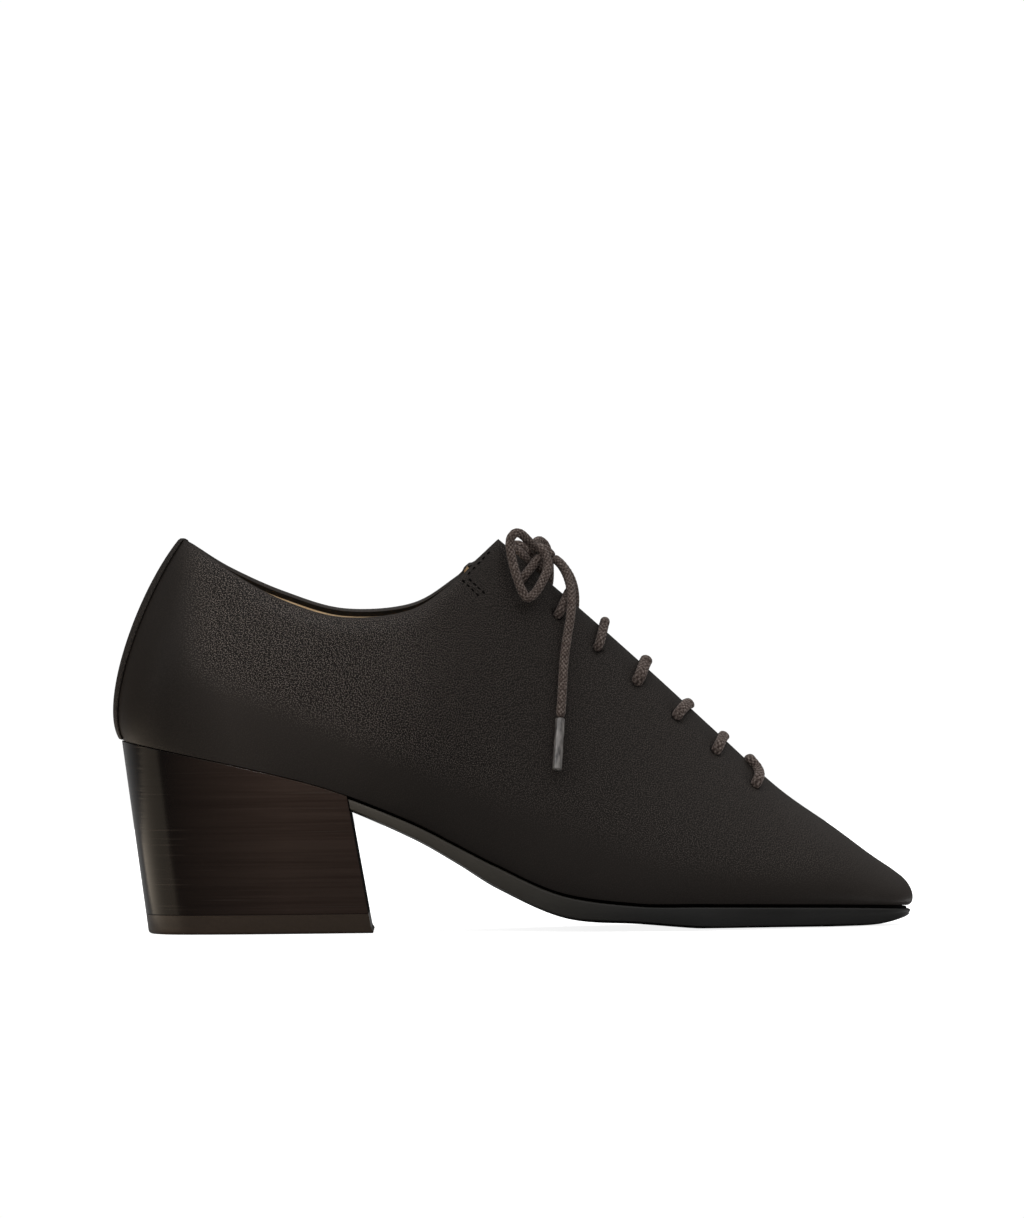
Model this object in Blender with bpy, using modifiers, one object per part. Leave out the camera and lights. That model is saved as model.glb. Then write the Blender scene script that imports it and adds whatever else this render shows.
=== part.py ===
"""A right-foot lace-up shoe with a pointed toe and a stacked block heel.

Places are given in millimetres on the shoe's own lines: x runs forward from the back of the heel,
y across from the centre plane (lateral side negative) and z up from the floor. They become metres
when a mesh is made, with the origin on the floor under the middle of the shoe.
"""

from math import pi, sqrt

import bmesh
import bpy
from mathutils import Matrix, Vector

MM = 0.001
LENGTH = 246.0
CENTRE_Y = -0.6
GAP = 0.3

WALL = 1.8
INSOLE_THICK = 2.0
INSOLE_INSET = WALL + 2.5 * GAP

STRIP_THICK = 0.9
STRIP_HALF_U = 0.4
STRIP_FOOT_V = 0.02
STRIP_HEAD_V = 0.985
STRIP_ROUNDING = 0.05
STRIP_COLUMNS = 8
STRIP_ROWS = 12

TONGUE_THICK = 1.3
TONGUE_HEAD_X = 123.0
TONGUE_FOOT_X = 209.0
TONGUE_ROWS = (15.0, 11.0, 6.8, 2.8)
TONGUE_TAPER = 0.25
TONGUE_COLUMNS = 22
TONGUE_UNDER = 0.9
TONGUE_SINK = 1.6

LATERAL, MEDIAL = -1, 1

# One row for each rib of the upper, from the back seam to the toe tip. The bottom columns place the
# feather line, the top columns the collar, the slit's edge and then the ridge; top_tilt raises the
# medial collar over the lateral one. Each rib leaves the bottom by its bulge and reaches the top by
# its crown. sole_z is the lower rim of the sole's edge.
RIB_COLUMNS = (
    "bottom_x", "bottom_y", "bottom_half", "bottom_z", "bulge_out", "bulge_up",
    "top_x", "top_y", "top_half", "top_z", "top_tilt", "crown_fwd", "crown_out", "crown_drop", "sole_z",
)
RIBS = (
    (2.4, 0.0, 0.0, 59.8, 7.0, 10.0, 21.5, 0.0, 0.0, 120.6, 0.0, -13.5, 0.0, 16.0, 57.0),
    (7.6, 0.0, 16.5, 58.6, 6.5, 14.0, 26.0, 0.0, 9.8, 118.8, 0.2, -6.0, 6.0, 16.0, 56.0),
    (21.0, -0.2, 23.0, 55.6, 5.5, 18.0, 36.5, 0.0, 17.3, 111.9, 0.5, -2.0, 5.0, 16.0, 53.0),
    (43.0, -0.6, 25.1, 50.6, 4.5, 20.0, 52.5, 0.0, 23.0, 103.9, 1.0, 0.0, 4.0, 16.0, 48.0),
    (66.0, -1.5, 23.7, 44.4, 6.0, 18.0, 71.0, 0.0, 25.5, 98.3, 1.1, 0.0, 3.0, 20.0, 40.6),
    (90.0, -2.8, 22.7, 34.9, 9.0, 12.0, 92.0, 0.0, 24.5, 100.0, 0.8, 0.0, 6.0, 26.0, 29.9),
    (104.0, -3.4, 23.0, 27.8, 10.0, 12.0, 106.0, 0.0, 17.0, 108.6, 0.4, 0.0, 10.0, 24.0, 21.8),
    (117.0, -3.7, 24.7, 21.0, 10.5, 13.0, 119.0, 0.0, 7.0, 120.2, 0.0, 0.0, 12.0, 14.0, 13.6),
    (137.0, -3.3, 29.4, 12.1, 10.0, 14.0, 143.8, 0.0, 4.8, 98.6, 0.0, 0.0, 13.0, 9.0, 5.0),
    (160.0, -1.7, 34.2, 8.7, 8.0, 14.0, 165.5, 0.0, 3.8, 78.9, 0.0, 0.0, 13.0, 8.0, 3.1),
    (180.0, 0.0, 35.0, 8.2, 7.0, 12.0, 186.0, 0.4, 2.6, 59.6, 0.0, 0.0, 13.0, 6.5, 1.4),
    (200.0, 1.5, 30.0, 7.7, 5.0, 9.0, 204.6, 1.0, 1.6, 42.4, 0.0, 0.0, 12.0, 3.0, 1.2),
    (220.0, 2.0, 20.8, 7.1, 3.5, 6.0, 221.1, 1.6, 0.0, 30.5, 0.0, 0.0, 10.0, 0.8, 1.0),
    (233.2, 2.1, 13.1, 6.6, 2.8, 4.0, 232.0, 2.0, 0.0, 22.2, 0.0, 1.2, 6.5, 0.9, 1.0),
    (241.3, 2.0, 7.6, 6.2, 2.4, 3.0, 238.5, 2.0, 0.0, 17.7, 0.0, 3.2, 3.5, 2.2, 2.5),
    (244.0, 2.0, 0.0, 6.0, 2.2, 3.0, 241.3, 2.0, 0.0, 15.6, 0.0, 4.4, 0.0, 3.2, 3.5),
)
CORNER = 7
SLIT_FOOT = 10.9
TIP = len(RIBS) - 1
CHANGES_SIDE = ("bottom_half", "top_half", "top_tilt", "crown_out")
TURNS_AT_CORNER = ("top_x", "top_y", "top_half", "top_z")
COLUMNS_PER_RIB = 4
ROWS_PER_SIDE = 8

SOLE_CROWN = 1.5
SOLE_CROWN_HALF = 32.0
SOLE_FLAT_HALF = 11.0
SOLE_FLAT_SHARE = 0.55
SOLE_OUT = 0.5
CREVICE_IN = 0.6
CREVICE_HIGH = 1.2
SOLE_TUCK = 0.8

BREAST_X = 71.8
HEEL_BOTTOM_BACK = 10.0
HEEL_BOTTOM_FRONT = 79.0
HEEL_TAPER = 0.9
HEEL_COLUMNS = 22
LIFT_THICK = 5.9

LACE = 2.8
EYELET = 4.0
EYELET_SETBACK = 9.0
EYELET_SIDES = 12
PUNCH_DEPTH = 5 * WALL
EYELET_FIRST_X = 125.6
EYELET_PITCH = 12.0
CREST_LEAD = (5.0, 2.2, 0.0, 1.0, 2.0, 0.8, -1.4)
# Each half of a crossing: share of the way from the eyelet to the slit, and height over the leather
# in clear lace heights.
BAR_RISE = ((0.0, -0.45), (0.02, 0.4), (0.15, 1.0), (0.45, 1.0), (0.8, 1.15), (1.0, 1.35))
BAR_POINTS = 19
LOOP_POINTS = 19
END_POINTS = 13
AGLET_POINTS = 3

# The bow: places of its knot, loops, free ends and their tips, each cord a route from the knot.
KNOT = (131.8, 0.0, 116.4)
KNOT_HALF = (3.6, 4.6, 2.9)
LOOPS = {
    "lace_loop_lateral": (
        (130.4, -5.0, 118.0), (127.6, -8.8, 121.6), (124.9, -11.0, 122.4), (122.9, -12.6, 118.4),
        (123.2, -14.8, 112.2), (124.6, -17.0, 106.4), (126.8, -17.2, 102.2), (130.2, -14.8, 104.6),
        (133.3, -11.6, 110.4), (134.8, -8.2, 114.2), (133.6, -5.2, 115.6),
    ),
    "lace_loop_medial": (
        (130.6, 5.0, 118.2), (131.5, 8.4, 120.8), (133.2, 11.2, 120.4), (135.0, 12.6, 116.4),
        (135.4, 13.4, 110.6), (134.0, 13.8, 105.0), (131.0, 14.4, 102.6), (128.6, 14.9, 105.8),
        (129.7, 14.2, 111.0), (131.6, 9.6, 114.6), (132.8, 5.2, 115.4),
    ),
}
ENDS = {
    "lace_end_lateral": (
        (135.8, -2.0, 114.4), (138.6, -4.2, 111.9), (141.2, -7.2, 107.8), (142.4, -11.0, 102.8),
        (142.1, -14.3, 96.7), (140.6, -17.2, 89.8), (139.2, -19.9, 82.8), (138.5, -22.7, 76.5),
        (137.9, -25.2, 70.5), (137.4, -27.0, 65.4),
    ),
    "lace_end_medial": (
        (135.8, 2.0, 114.4), (138.6, 4.2, 111.9), (141.2, 7.2, 107.8), (142.4, 11.0, 102.8),
        (142.1, 14.1, 96.7), (140.6, 16.5, 89.8), (139.2, 18.6, 82.8), (138.5, 20.8, 76.5),
        (137.9, 22.8, 70.5), (137.4, 24.1, 65.4),
    ),
}
AGLET = 3.0
AGLETS = {
    "aglet_lateral": ((137.35, -27.15, 65.05), (136.2, -32.3, 49.4)),
    "aglet_medial": ((137.35, 24.2, 65.05), (136.2, 28.1, 49.4)),
}


def column_value(name, u):
    """One column of the ribs at position u, on a smooth curve through its rows."""
    sign = -1 if name in CHANGES_SIDE else 1
    if u < 0:
        return sign * column_value(name, -u)
    if u > TIP:
        return sign * column_value(name, 2 * TIP - u)
    rows = [rib[RIB_COLUMNS.index(name)] for rib in RIBS]
    rows = [sign * rows[1]] + rows + [sign * rows[-2]]
    first = min(int(u), TIP - 1)
    before, start, end, after = rows[first:first + 4]
    turns = name in TURNS_AT_CORNER
    start_slope = end - start if turns and first == CORNER else (end - before) / 2
    end_slope = end - start if turns and first + 1 == CORNER else (after - start) / 2
    t = u - first
    return (
        start * (1 + 2 * t) * (1 - t) ** 2
        + start_slope * t * (1 - t) ** 2
        + end * t * t * (3 - 2 * t)
        + end_slope * t * t * (t - 1)
    )


def rib_at(name, target):
    """The position u at which a rising column of the ribs reaches a value."""
    low, high = 0.0, float(TIP)
    for _ in range(40):
        middle = (low + high) / 2
        if column_value(name, middle) < target:
            low = middle
        else:
            high = middle
    return low


def feather(side, u):
    """The point of the feather line, where the upper meets the sole."""
    return Vector((
        column_value("bottom_x", u),
        column_value("bottom_y", u) + side * column_value("bottom_half", u),
        column_value("bottom_z", u),
    ))


def out_from_sole(side, u):
    """Level direction straight out of the sole's outline."""
    step = 0.01
    along = feather(side, u + step) - feather(side, u - step)
    return Vector((-side * along.y, side * along.x, 0.0)).normalized()


def skin(side, u, v):
    """A point of the upper's outer face, from the feather line (v 0) to the top line (v 1)."""
    bottom = feather(side, u)
    slit_half = 0.0 if u > SLIT_FOOT else column_value("top_half", u)
    top = Vector((
        column_value("top_x", u),
        column_value("top_y", u) + side * slit_half,
        column_value("top_z", u) + side * column_value("top_tilt", u),
    ))
    rise = Vector((0.0, 0.0, column_value("bulge_up", u)))
    leave = bottom + out_from_sole(side, u) * column_value("bulge_out", u) + rise
    arrive = top + Vector((
        column_value("crown_fwd", u),
        side * column_value("crown_out", u),
        -column_value("crown_drop", u),
    ))
    w = 1 - v
    return bottom * w ** 3 + leave * (3 * w * w * v) + arrive * (3 * w * v * v) + top * v ** 3


def skin_normal(side, u, v):
    """Unit direction out of the upper's outer face."""
    step = 0.004
    low, high = max(0.0, v - step), min(1.0, v + step)
    along = skin(side, u + step, v) - skin(side, u - step, v)
    up = skin(side, u, high) - skin(side, u, low)
    return (along.cross(up) * -side).normalized()


def over_skin(side, u, v, height):
    """A point a given height over the upper's outer face, or under it where negative."""
    return skin(side, u, v) + skin_normal(side, u, v) * height


def down_from_top(side, u, distance):
    """The v that lies a given distance below the top line, measured along a rib."""
    v, gone, step = 1.0, 0.0, 0.005
    last = skin(side, u, v)
    while gone < distance:
        v -= step
        here = skin(side, u, v)
        gone += (here - last).length
        last = here
    return v


def placed(point):
    """A point of the shoe, as a point of the model in metres."""
    return Vector((point[0] - LENGTH / 2, point[1] - CENTRE_Y, point[2])) * MM


def grid(columns, rows, point, left_out=None):
    """A sheet of faces whose corners lie at point(along, across), without the row left_out."""
    bm = bmesh.new()
    bmesh.ops.create_grid(bm, x_segments=columns, y_segments=rows, size=0.5)
    if left_out is not None:
        level = (left_out + 0.5) / rows - 0.5
        dropped = [f for f in bm.faces if abs(f.calc_center_median().y - level) < 0.25 / rows]
        bmesh.ops.delete(bm, geom=dropped, context="FACES_ONLY")
    for vert in bm.verts:
        vert.co = placed(point(round(vert.co.x + 0.5, 6), round(vert.co.y + 0.5, 6)))
    bmesh.ops.remove_doubles(bm, verts=bm.verts, dist=0.01 * MM)
    bmesh.ops.recalc_face_normals(bm, faces=bm.faces)
    return bm


def loft(columns, first, last, section):
    """A solid through closed sections, each a list of points, capped where an end stays open."""
    corners = len(section(first))

    def corner(along, across):
        return section(first + (last - first) * along)[round(across * corners) % corners]

    bm = grid(columns, corners, corner)
    rims = [edge for edge in bm.edges if edge.is_boundary]
    if rims:
        bmesh.ops.holes_fill(bm, edges=rims)
        bmesh.ops.recalc_face_normals(bm, faces=bm.faces)
    return bm


def material(name, colour, roughness):
    """A plain finish for one kind of piece."""
    finish = bpy.data.materials.new(name)
    finish.use_nodes = True
    shader = finish.node_tree.nodes["Principled BSDF"]
    shader.inputs["Base Color"].default_value = (*colour, 1.0)
    shader.inputs["Roughness"].default_value = roughness
    shader.inputs["Metallic"].default_value = 0.0
    return finish


def add_mesh(name, bm, finish, collection):
    """A new mesh object, shaded smooth but for its corners."""
    mesh = bpy.data.meshes.new(name)
    bm.to_mesh(mesh)
    bm.free()
    mesh.materials.append(finish)
    mesh.shade_smooth()
    mesh.set_sharp_from_angle(angle=pi / 5)
    part = bpy.data.objects.new(name, mesh)
    collection.objects.link(part)
    return part


def add_wall(part, thickness, offset):
    """Gives an open sheet its thickness, inward at offset -1 and outward at offset 1."""
    wall = part.modifiers.new("wall", "SOLIDIFY")
    wall.thickness = thickness * MM
    wall.offset = offset
    wall.use_even_offset = True


def smooth_route(points, count):
    """Count points at even steps of a smooth curve through the points of a route."""
    route = [Vector(p) for p in points]
    route = [route[0] * 2 - route[1]] + route + [route[-1] * 2 - route[-2]]
    spans = len(points) - 1
    result = []
    for i in range(count):
        s = spans * i / (count - 1)
        k = min(int(s), spans - 1)
        t = s - k
        a, b, c, d = route[k:k + 4]
        result.append(
            b
            + (c - a) * (t / 2)
            + (a * 2 - b * 5 + c * 4 - d) * (t * t / 2)
            + (b * 3 - a - c * 3 + d) * (t ** 3 / 2)
        )
    return result


def add_tube(name, points, diameter, finish, collection):
    """A round cord along a list of points."""
    curve = bpy.data.curves.new(name, "CURVE")
    curve.dimensions = "3D"
    curve.bevel_depth = diameter / 2 * MM
    curve.bevel_resolution = 2
    curve.use_fill_caps = True
    spline = curve.splines.new("POLY")
    spline.points.add(len(points) - 1)
    for knot, point in zip(spline.points, points):
        knot.co = (*placed(point), 1.0)
    curve.materials.append(finish)
    part = bpy.data.objects.new(name, curve)
    collection.objects.link(part)
    return part


def eyelets():
    """Side, u and v of each punched hole, as pairs from the top of the slit to its foot."""
    pairs = []
    for number in range(len(CREST_LEAD)):
        u = rib_at("top_x", EYELET_FIRST_X + EYELET_PITCH * number)
        pairs.append([(side, u, down_from_top(side, u, EYELET_SETBACK)) for side in (LATERAL, MEDIAL)])
    return pairs


def make_upper(finish, collection, cutters):
    """The leather shell, slit down the front and punched for the lace."""
    rows = 2 * ROWS_PER_SIDE + 1
    slit = 0.5 / rows

    def point(along, across):
        side = LATERAL if across < 0.5 else MEDIAL
        return skin(side, TIP * along, (0.5 - abs(across - 0.5)) / (0.5 - slit))

    bm = grid(COLUMNS_PER_RIB * TIP, rows, point, left_out=ROWS_PER_SIDE)
    upper = add_mesh("upper", bm, finish, collection)
    add_wall(upper, WALL, -1.0)

    punch = bmesh.new()
    for pair in eyelets():
        for side, u, v in pair:
            middle = placed(over_skin(side, u, v, -WALL / 2))
            turn = skin_normal(side, u, v).to_track_quat("Z", "Y").to_matrix().to_4x4()
            bmesh.ops.create_cone(
                punch, cap_ends=True, segments=EYELET_SIDES, depth=PUNCH_DEPTH * MM,
                radius1=EYELET / 2 * MM, radius2=EYELET / 2 * MM,
                matrix=Matrix.Translation(middle) @ turn,
            )
    cutter = add_mesh("eyelet_punch", punch, finish, cutters)
    cutter.hide_render = True
    cutter.display_type = "WIRE"
    holes = upper.modifiers.new("eyelets", "BOOLEAN")
    holes.operation = "DIFFERENCE"
    holes.object = cutter


def make_back_strip(finish, collection):
    """The strip over the back seam, cut from the upper's own face."""
    def point(along, across):
        spread = 2 * along - 1
        side = LATERAL if spread < 0 else MEDIAL
        head = STRIP_HEAD_V - STRIP_ROUNDING * (1 - sqrt(max(0.0, 1 - spread * spread)))
        v = STRIP_FOOT_V + (head - STRIP_FOOT_V) * across
        return over_skin(side, STRIP_HALF_U * abs(spread), v, GAP)

    strip = add_mesh("back_strip", grid(STRIP_COLUMNS, STRIP_ROWS, point), finish, collection)
    add_wall(strip, STRIP_THICK, 1.0)


def make_tongue(finish, collection):
    """The tongue, a tapering sheet under the edges of the slit and flat between them."""
    head, foot = rib_at("top_x", TONGUE_HEAD_X), rib_at("top_x", TONGUE_FOOT_X)
    rows = 2 * len(TONGUE_ROWS) - 1

    def point(along, across):
        u = head + (foot - head) * along
        row = round(across * rows)
        side = LATERAL if row < len(TONGUE_ROWS) else MEDIAL
        reach = TONGUE_ROWS[min(row, rows - row)] * (1 - TONGUE_TAPER * along)
        depth = WALL + TONGUE_UNDER + TONGUE_SINK * along ** 4
        return over_skin(side, u, down_from_top(side, u, reach), -depth)

    tongue = add_mesh("tongue", grid(TONGUE_COLUMNS, rows, point), finish, collection)
    add_wall(tongue, TONGUE_THICK, -1.0)


def make_outsole(finish, collection):
    """The sole from the heel breast to the tip: a set-back crevice, an upright edge, a low crown."""
    lean = (HEEL_BOTTOM_FRONT - BREAST_X) / column_value("bottom_z", rib_at("bottom_x", BREAST_X))
    first = rib_at("bottom_x", BREAST_X + GAP)

    def half_section(side, u):
        rim, out = feather(side, u), out_from_sole(side, u)
        half = column_value("bottom_half", u)
        flat = min(SOLE_FLAT_HALF, SOLE_FLAT_SHARE * half)
        step = rim.z - GAP - CREVICE_HIGH
        edge = column_value("sole_z", u)
        under = max(0.0, edge - SOLE_CROWN * min(1.0, half / SOLE_CROWN_HALF))
        rungs = [
            (rim - out * CREVICE_IN, rim.z - GAP),
            (rim - out * CREVICE_IN, step),
            (rim + out * SOLE_OUT, step),
            (rim + out * (SOLE_OUT - SOLE_TUCK), edge),
            (Vector((rim.x, column_value("bottom_y", u) + side * flat, 0.0)), under),
        ]
        return [Vector((p.x + lean * (rim.z - z), p.y, z)) for p, z in rungs]

    def section(u):
        return half_section(LATERAL, u) + half_section(MEDIAL, u)[::-1]

    columns = round((TIP - first) * COLUMNS_PER_RIB)
    add_mesh("outsole", loft(columns, first, TIP, section), finish, collection)


def make_insole(finish, collection):
    """The insole, just inside the upper's wall and on top of the sole and the heel."""
    def section(u):
        rim = [feather(side, u) - out_from_sole(side, u) * INSOLE_INSET for side in (LATERAL, MEDIAL)]
        high = Vector((0.0, 0.0, INSOLE_THICK))
        return [rim[0], rim[1], rim[1] + high, rim[0] + high]

    add_mesh("insole", loft(COLUMNS_PER_RIB * TIP, 0.0, TIP, section), finish, collection)


def heel_outline(side, u, z):
    """A point of the heel's side at height z, on the straight line from the seat to the floor."""
    seat = feather(side, u) - Vector((0.0, 0.0, GAP))
    share = (HEEL_BOTTOM_FRONT - HEEL_BOTTOM_BACK) / (BREAST_X - RIBS[0][0])
    foot = Vector((HEEL_BOTTOM_BACK + (seat.x - RIBS[0][0]) * share, seat.y * HEEL_TAPER, 0.0))
    return foot.lerp(seat, min(z / seat.z, 1.0))


def make_heel(finish, collection):
    """The stacked block, from the seat down to the top lift."""
    def section(u):
        low = [heel_outline(side, u, LIFT_THICK + GAP) for side in (LATERAL, MEDIAL)]
        high = [heel_outline(side, u, LENGTH) for side in (MEDIAL, LATERAL)]
        return low + high

    add_mesh("heel", loft(HEEL_COLUMNS, 0.0, rib_at("bottom_x", BREAST_X), section), finish, collection)


def make_top_lift(finish, collection):
    """The wearing piece that the heel stands on."""
    def section(u):
        low = [heel_outline(side, u, 0.0) for side in (LATERAL, MEDIAL)]
        high = [heel_outline(side, u, LIFT_THICK) for side in (MEDIAL, LATERAL)]
        return low + high

    add_mesh("top_lift", loft(HEEL_COLUMNS, 0.0, rib_at("bottom_x", BREAST_X), section), finish, collection)


def make_lace_bars(finish, collection):
    """The crossings of the lace, each out of one eyelet, over the slit and into the other."""
    clear = LACE / 2 + GAP
    for number, (lead, pair) in enumerate(zip(CREST_LEAD, eyelets())):
        crest = rib_at("top_x", EYELET_FIRST_X + EYELET_PITCH * number + lead)
        halves = []
        for side, u, v in pair:
            halves.append([
                over_skin(side, u + (crest - u) * way, v + (1 - v) * way, high * clear)
                for way, high in BAR_RISE
            ])
        route = smooth_route(halves[0] + halves[1][::-1], BAR_POINTS)
        add_tube(f"lace_bar_{number + 1}", route, LACE, finish, collection)


def make_bow(cord, tip, collection):
    """The knot over the top crossing, its two loops, and the two free ends with their aglets."""
    bm = bmesh.new()
    size = Matrix.Diagonal((*(half * MM for half in KNOT_HALF), 1.0))
    bmesh.ops.create_uvsphere(
        bm, u_segments=12, v_segments=8, radius=1.0, matrix=Matrix.Translation(placed(KNOT)) @ size
    )
    add_mesh("lace_knot", bm, cord, collection)
    for name, route in LOOPS.items():
        add_tube(name, smooth_route(route, LOOP_POINTS), LACE, cord, collection)
    for name, route in ENDS.items():
        add_tube(name, smooth_route(route, END_POINTS), LACE, cord, collection)
    for name, route in AGLETS.items():
        add_tube(name, smooth_route(route, AGLET_POINTS), AGLET, tip, collection)


def make_shoe():
    """Clears the scene and makes every piece."""
    for old in list(bpy.data.objects):
        bpy.data.objects.remove(old, do_unlink=True)
    shoe = bpy.data.collections.new("high_heeled_shoe")
    cutters = bpy.data.collections.new("cutters")
    for collection in (shoe, cutters):
        bpy.context.scene.collection.children.link(collection)

    leather = material("dark_brown_leather", (0.022, 0.018, 0.016), 0.5)
    lining = material("tan_lining", (0.52, 0.42, 0.27), 0.7)
    stack = material("stacked_heel", (0.026, 0.014, 0.010), 0.35)
    rubber = material("heel_lift_rubber", (0.035, 0.026, 0.020), 0.6)
    sole = material("dyed_sole", (0.012, 0.012, 0.011), 0.45)
    cord = material("lace_cord", (0.055, 0.042, 0.036), 0.85)
    tip = material("aglet_plastic", (0.13, 0.12, 0.11), 0.35)

    make_upper(leather, shoe, cutters)
    make_back_strip(leather, shoe)
    make_tongue(leather, shoe)
    make_outsole(sole, shoe)
    make_insole(lining, shoe)
    make_heel(stack, shoe)
    make_top_lift(rubber, shoe)
    make_lace_bars(cord, shoe)
    make_bow(cord, tip, shoe)


make_shoe()
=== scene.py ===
"""One right lace-up shoe with a pointed toe and a stacked block heel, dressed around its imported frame."""

from functools import lru_cache, partial
from math import cos, exp, pi, radians, sin, sqrt

import bmesh
import bpy
from mathutils import Matrix, Vector


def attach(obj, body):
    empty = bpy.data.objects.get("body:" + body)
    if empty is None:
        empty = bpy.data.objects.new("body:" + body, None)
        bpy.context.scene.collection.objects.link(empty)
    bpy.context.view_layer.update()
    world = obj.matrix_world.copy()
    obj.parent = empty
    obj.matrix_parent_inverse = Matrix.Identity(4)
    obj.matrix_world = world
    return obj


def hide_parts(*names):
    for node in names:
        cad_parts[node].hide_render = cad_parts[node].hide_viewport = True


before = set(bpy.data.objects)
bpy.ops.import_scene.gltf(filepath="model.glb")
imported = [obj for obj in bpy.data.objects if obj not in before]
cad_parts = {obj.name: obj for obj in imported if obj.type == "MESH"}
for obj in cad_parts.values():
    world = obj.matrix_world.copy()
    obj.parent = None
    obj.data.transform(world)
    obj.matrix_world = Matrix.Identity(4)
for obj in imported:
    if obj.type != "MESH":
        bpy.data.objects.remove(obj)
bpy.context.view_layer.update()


# The last. A shoe takes its shape from the wooden last that the leather is pulled over, so its ribs
# come first, one row each from the back seam to the toe tip. Places are in millimetres: x forward
# from the heel's back, y to the medial side, z up from the floor.
MM = 0.001
LENGTH = 246.0
CENTRE_Y = -0.6
LATERAL, MEDIAL = -1, 1
RIB_COLUMNS = (
    "bottom_x", "bottom_y", "bottom_half", "bottom_z", "bulge_out", "bulge_up",
    "top_x", "top_y", "top_half", "top_z", "top_tilt", "crown_fwd", "crown_out", "crown_drop", "sole_z",
)
RIBS = (
    (2.4, 0.0, 0.0, 59.8, 7.0, 10.0, 21.5, 0.0, 0.0, 121.3, 0.0, -13.5, 0.0, 16.0, 57.0),
    (7.6, 0.0, 16.5, 58.6, 6.5, 14.0, 26.0, 0.0, 9.8, 119.2, -0.2, -6.0, 6.0, 16.0, 56.0),
    (21.0, -0.2, 23.0, 55.6, 5.5, 18.0, 36.5, 0.0, 17.3, 112.0, 0.4, -2.0, 5.0, 16.0, 53.0),
    (43.0, -0.6, 25.1, 50.6, 4.5, 20.0, 52.5, 0.0, 23.0, 103.9, 1.1, 0.0, 4.0, 16.0, 48.0),
    (66.0, -1.5, 23.7, 44.4, 6.0, 18.0, 71.0, 0.0, 25.5, 98.3, 1.1, 0.0, 3.0, 20.0, 40.6),
    (90.0, -2.8, 22.7, 34.9, 8.2, 12.0, 92.0, 0.0, 24.5, 100.0, 0.8, 0.0, 6.0, 26.0, 29.9),
    (104.0, -3.4, 23.0, 27.8, 8.6, 12.0, 106.0, 0.0, 17.0, 108.6, 0.4, 0.0, 10.0, 24.0, 21.8),
    (117.0, -3.7, 24.7, 21.0, 8.6, 13.0, 119.0, 0.0, 7.0, 120.2, 0.0, 0.0, 12.0, 14.0, 13.6),
    (137.0, -3.3, 29.4, 12.1, 7.6, 14.0, 143.8, 0.0, 4.8, 98.6, 0.0, 0.0, 13.0, 9.0, 5.0),
    (160.0, -1.7, 34.2, 8.7, 6.0, 14.0, 165.5, 0.0, 3.8, 78.9, 0.0, 0.0, 13.0, 8.0, 3.1),
    (180.0, 0.0, 35.0, 8.2, 5.2, 12.0, 186.0, 0.4, 2.6, 59.6, 0.0, 0.0, 13.0, 6.5, 1.4),
    (200.0, 1.5, 30.0, 7.7, 4.0, 9.0, 204.6, 1.0, 1.6, 42.4, 0.0, 0.0, 12.0, 3.0, 1.2),
    (220.0, 2.0, 20.8, 7.1, 3.5, 6.0, 221.1, 1.6, 0.0, 30.5, 0.0, 0.0, 10.0, 0.8, 1.0),
    (233.2, 2.1, 13.1, 6.6, 3.0, 2.6, 232.0, 2.0, 0.0, 22.2, 0.0, 1.2, 6.5, 0.9, 1.0),
    (241.3, 2.0, 7.6, 6.2, 2.8, 1.4, 238.5, 2.0, 0.0, 17.7, 0.0, 3.2, 3.5, 2.2, 2.5),
    (244.0, 2.0, 0.0, 6.0, 2.8, 0.9, 241.3, 2.0, 0.0, 15.6, 0.0, 4.4, 0.0, 3.2, 3.5),
)
CORNER = 7
SLIT_FOOT = 10.9
PEEP_X, PEEP_HALF, PEEP_RISE = 109.2, 1.6, 1.0
TIP = len(RIBS) - 1
CHANGES_SIDE = ("bottom_half", "top_half", "top_tilt", "crown_out")
TURNS_AT_CORNER = ("top_x", "top_y", "top_half", "top_z")


def column_value(name, u):
    """One column of the ribs at position u, on a smooth curve through its rows."""
    sign = -1 if name in CHANGES_SIDE else 1
    if u < 0:
        return sign * column_value(name, -u)
    if u > TIP:
        return sign * column_value(name, 2 * TIP - u)
    rows = [rib[RIB_COLUMNS.index(name)] for rib in RIBS]
    rows = [sign * rows[1]] + rows + [sign * rows[-2]]
    first = min(int(u), TIP - 1)
    before, start, end, after = rows[first:first + 4]
    turns = name in TURNS_AT_CORNER
    start_slope = end - start if turns and first == CORNER else (end - before) / 2
    end_slope = end - start if turns and first + 1 == CORNER else (after - start) / 2
    t = u - first
    return (
        start * (1 + 2 * t) * (1 - t) ** 2
        + start_slope * t * (1 - t) ** 2
        + end * t * t * (3 - 2 * t)
        + end_slope * t * t * (t - 1)
    )


def rib_at(name, target):
    """The position u at which a rising column of the ribs reaches a value."""
    low, high = 0.0, float(TIP)
    for _ in range(40):
        middle = (low + high) / 2
        if column_value(name, middle) < target:
            low = middle
        else:
            high = middle
    return low


@lru_cache(maxsize=None)
def feather(side, u):
    """The point of the feather line, where the upper meets the sole."""
    return Vector((
        column_value("bottom_x", u),
        column_value("bottom_y", u) + side * column_value("bottom_half", u),
        column_value("bottom_z", u),
    ))


@lru_cache(maxsize=None)
def out_from_sole(side, u):
    """Level direction straight out of the sole's outline."""
    step = 0.01
    along = feather(side, u + step) - feather(side, u - step)
    return Vector((-side * along.y, side * along.x, 0.0)).normalized()


def peep(x):
    """1 where the end of the far facing shows past the near one, falling to 0 on both sides."""
    return exp(-(((x - PEEP_X) / PEEP_HALF) ** 4))


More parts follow.
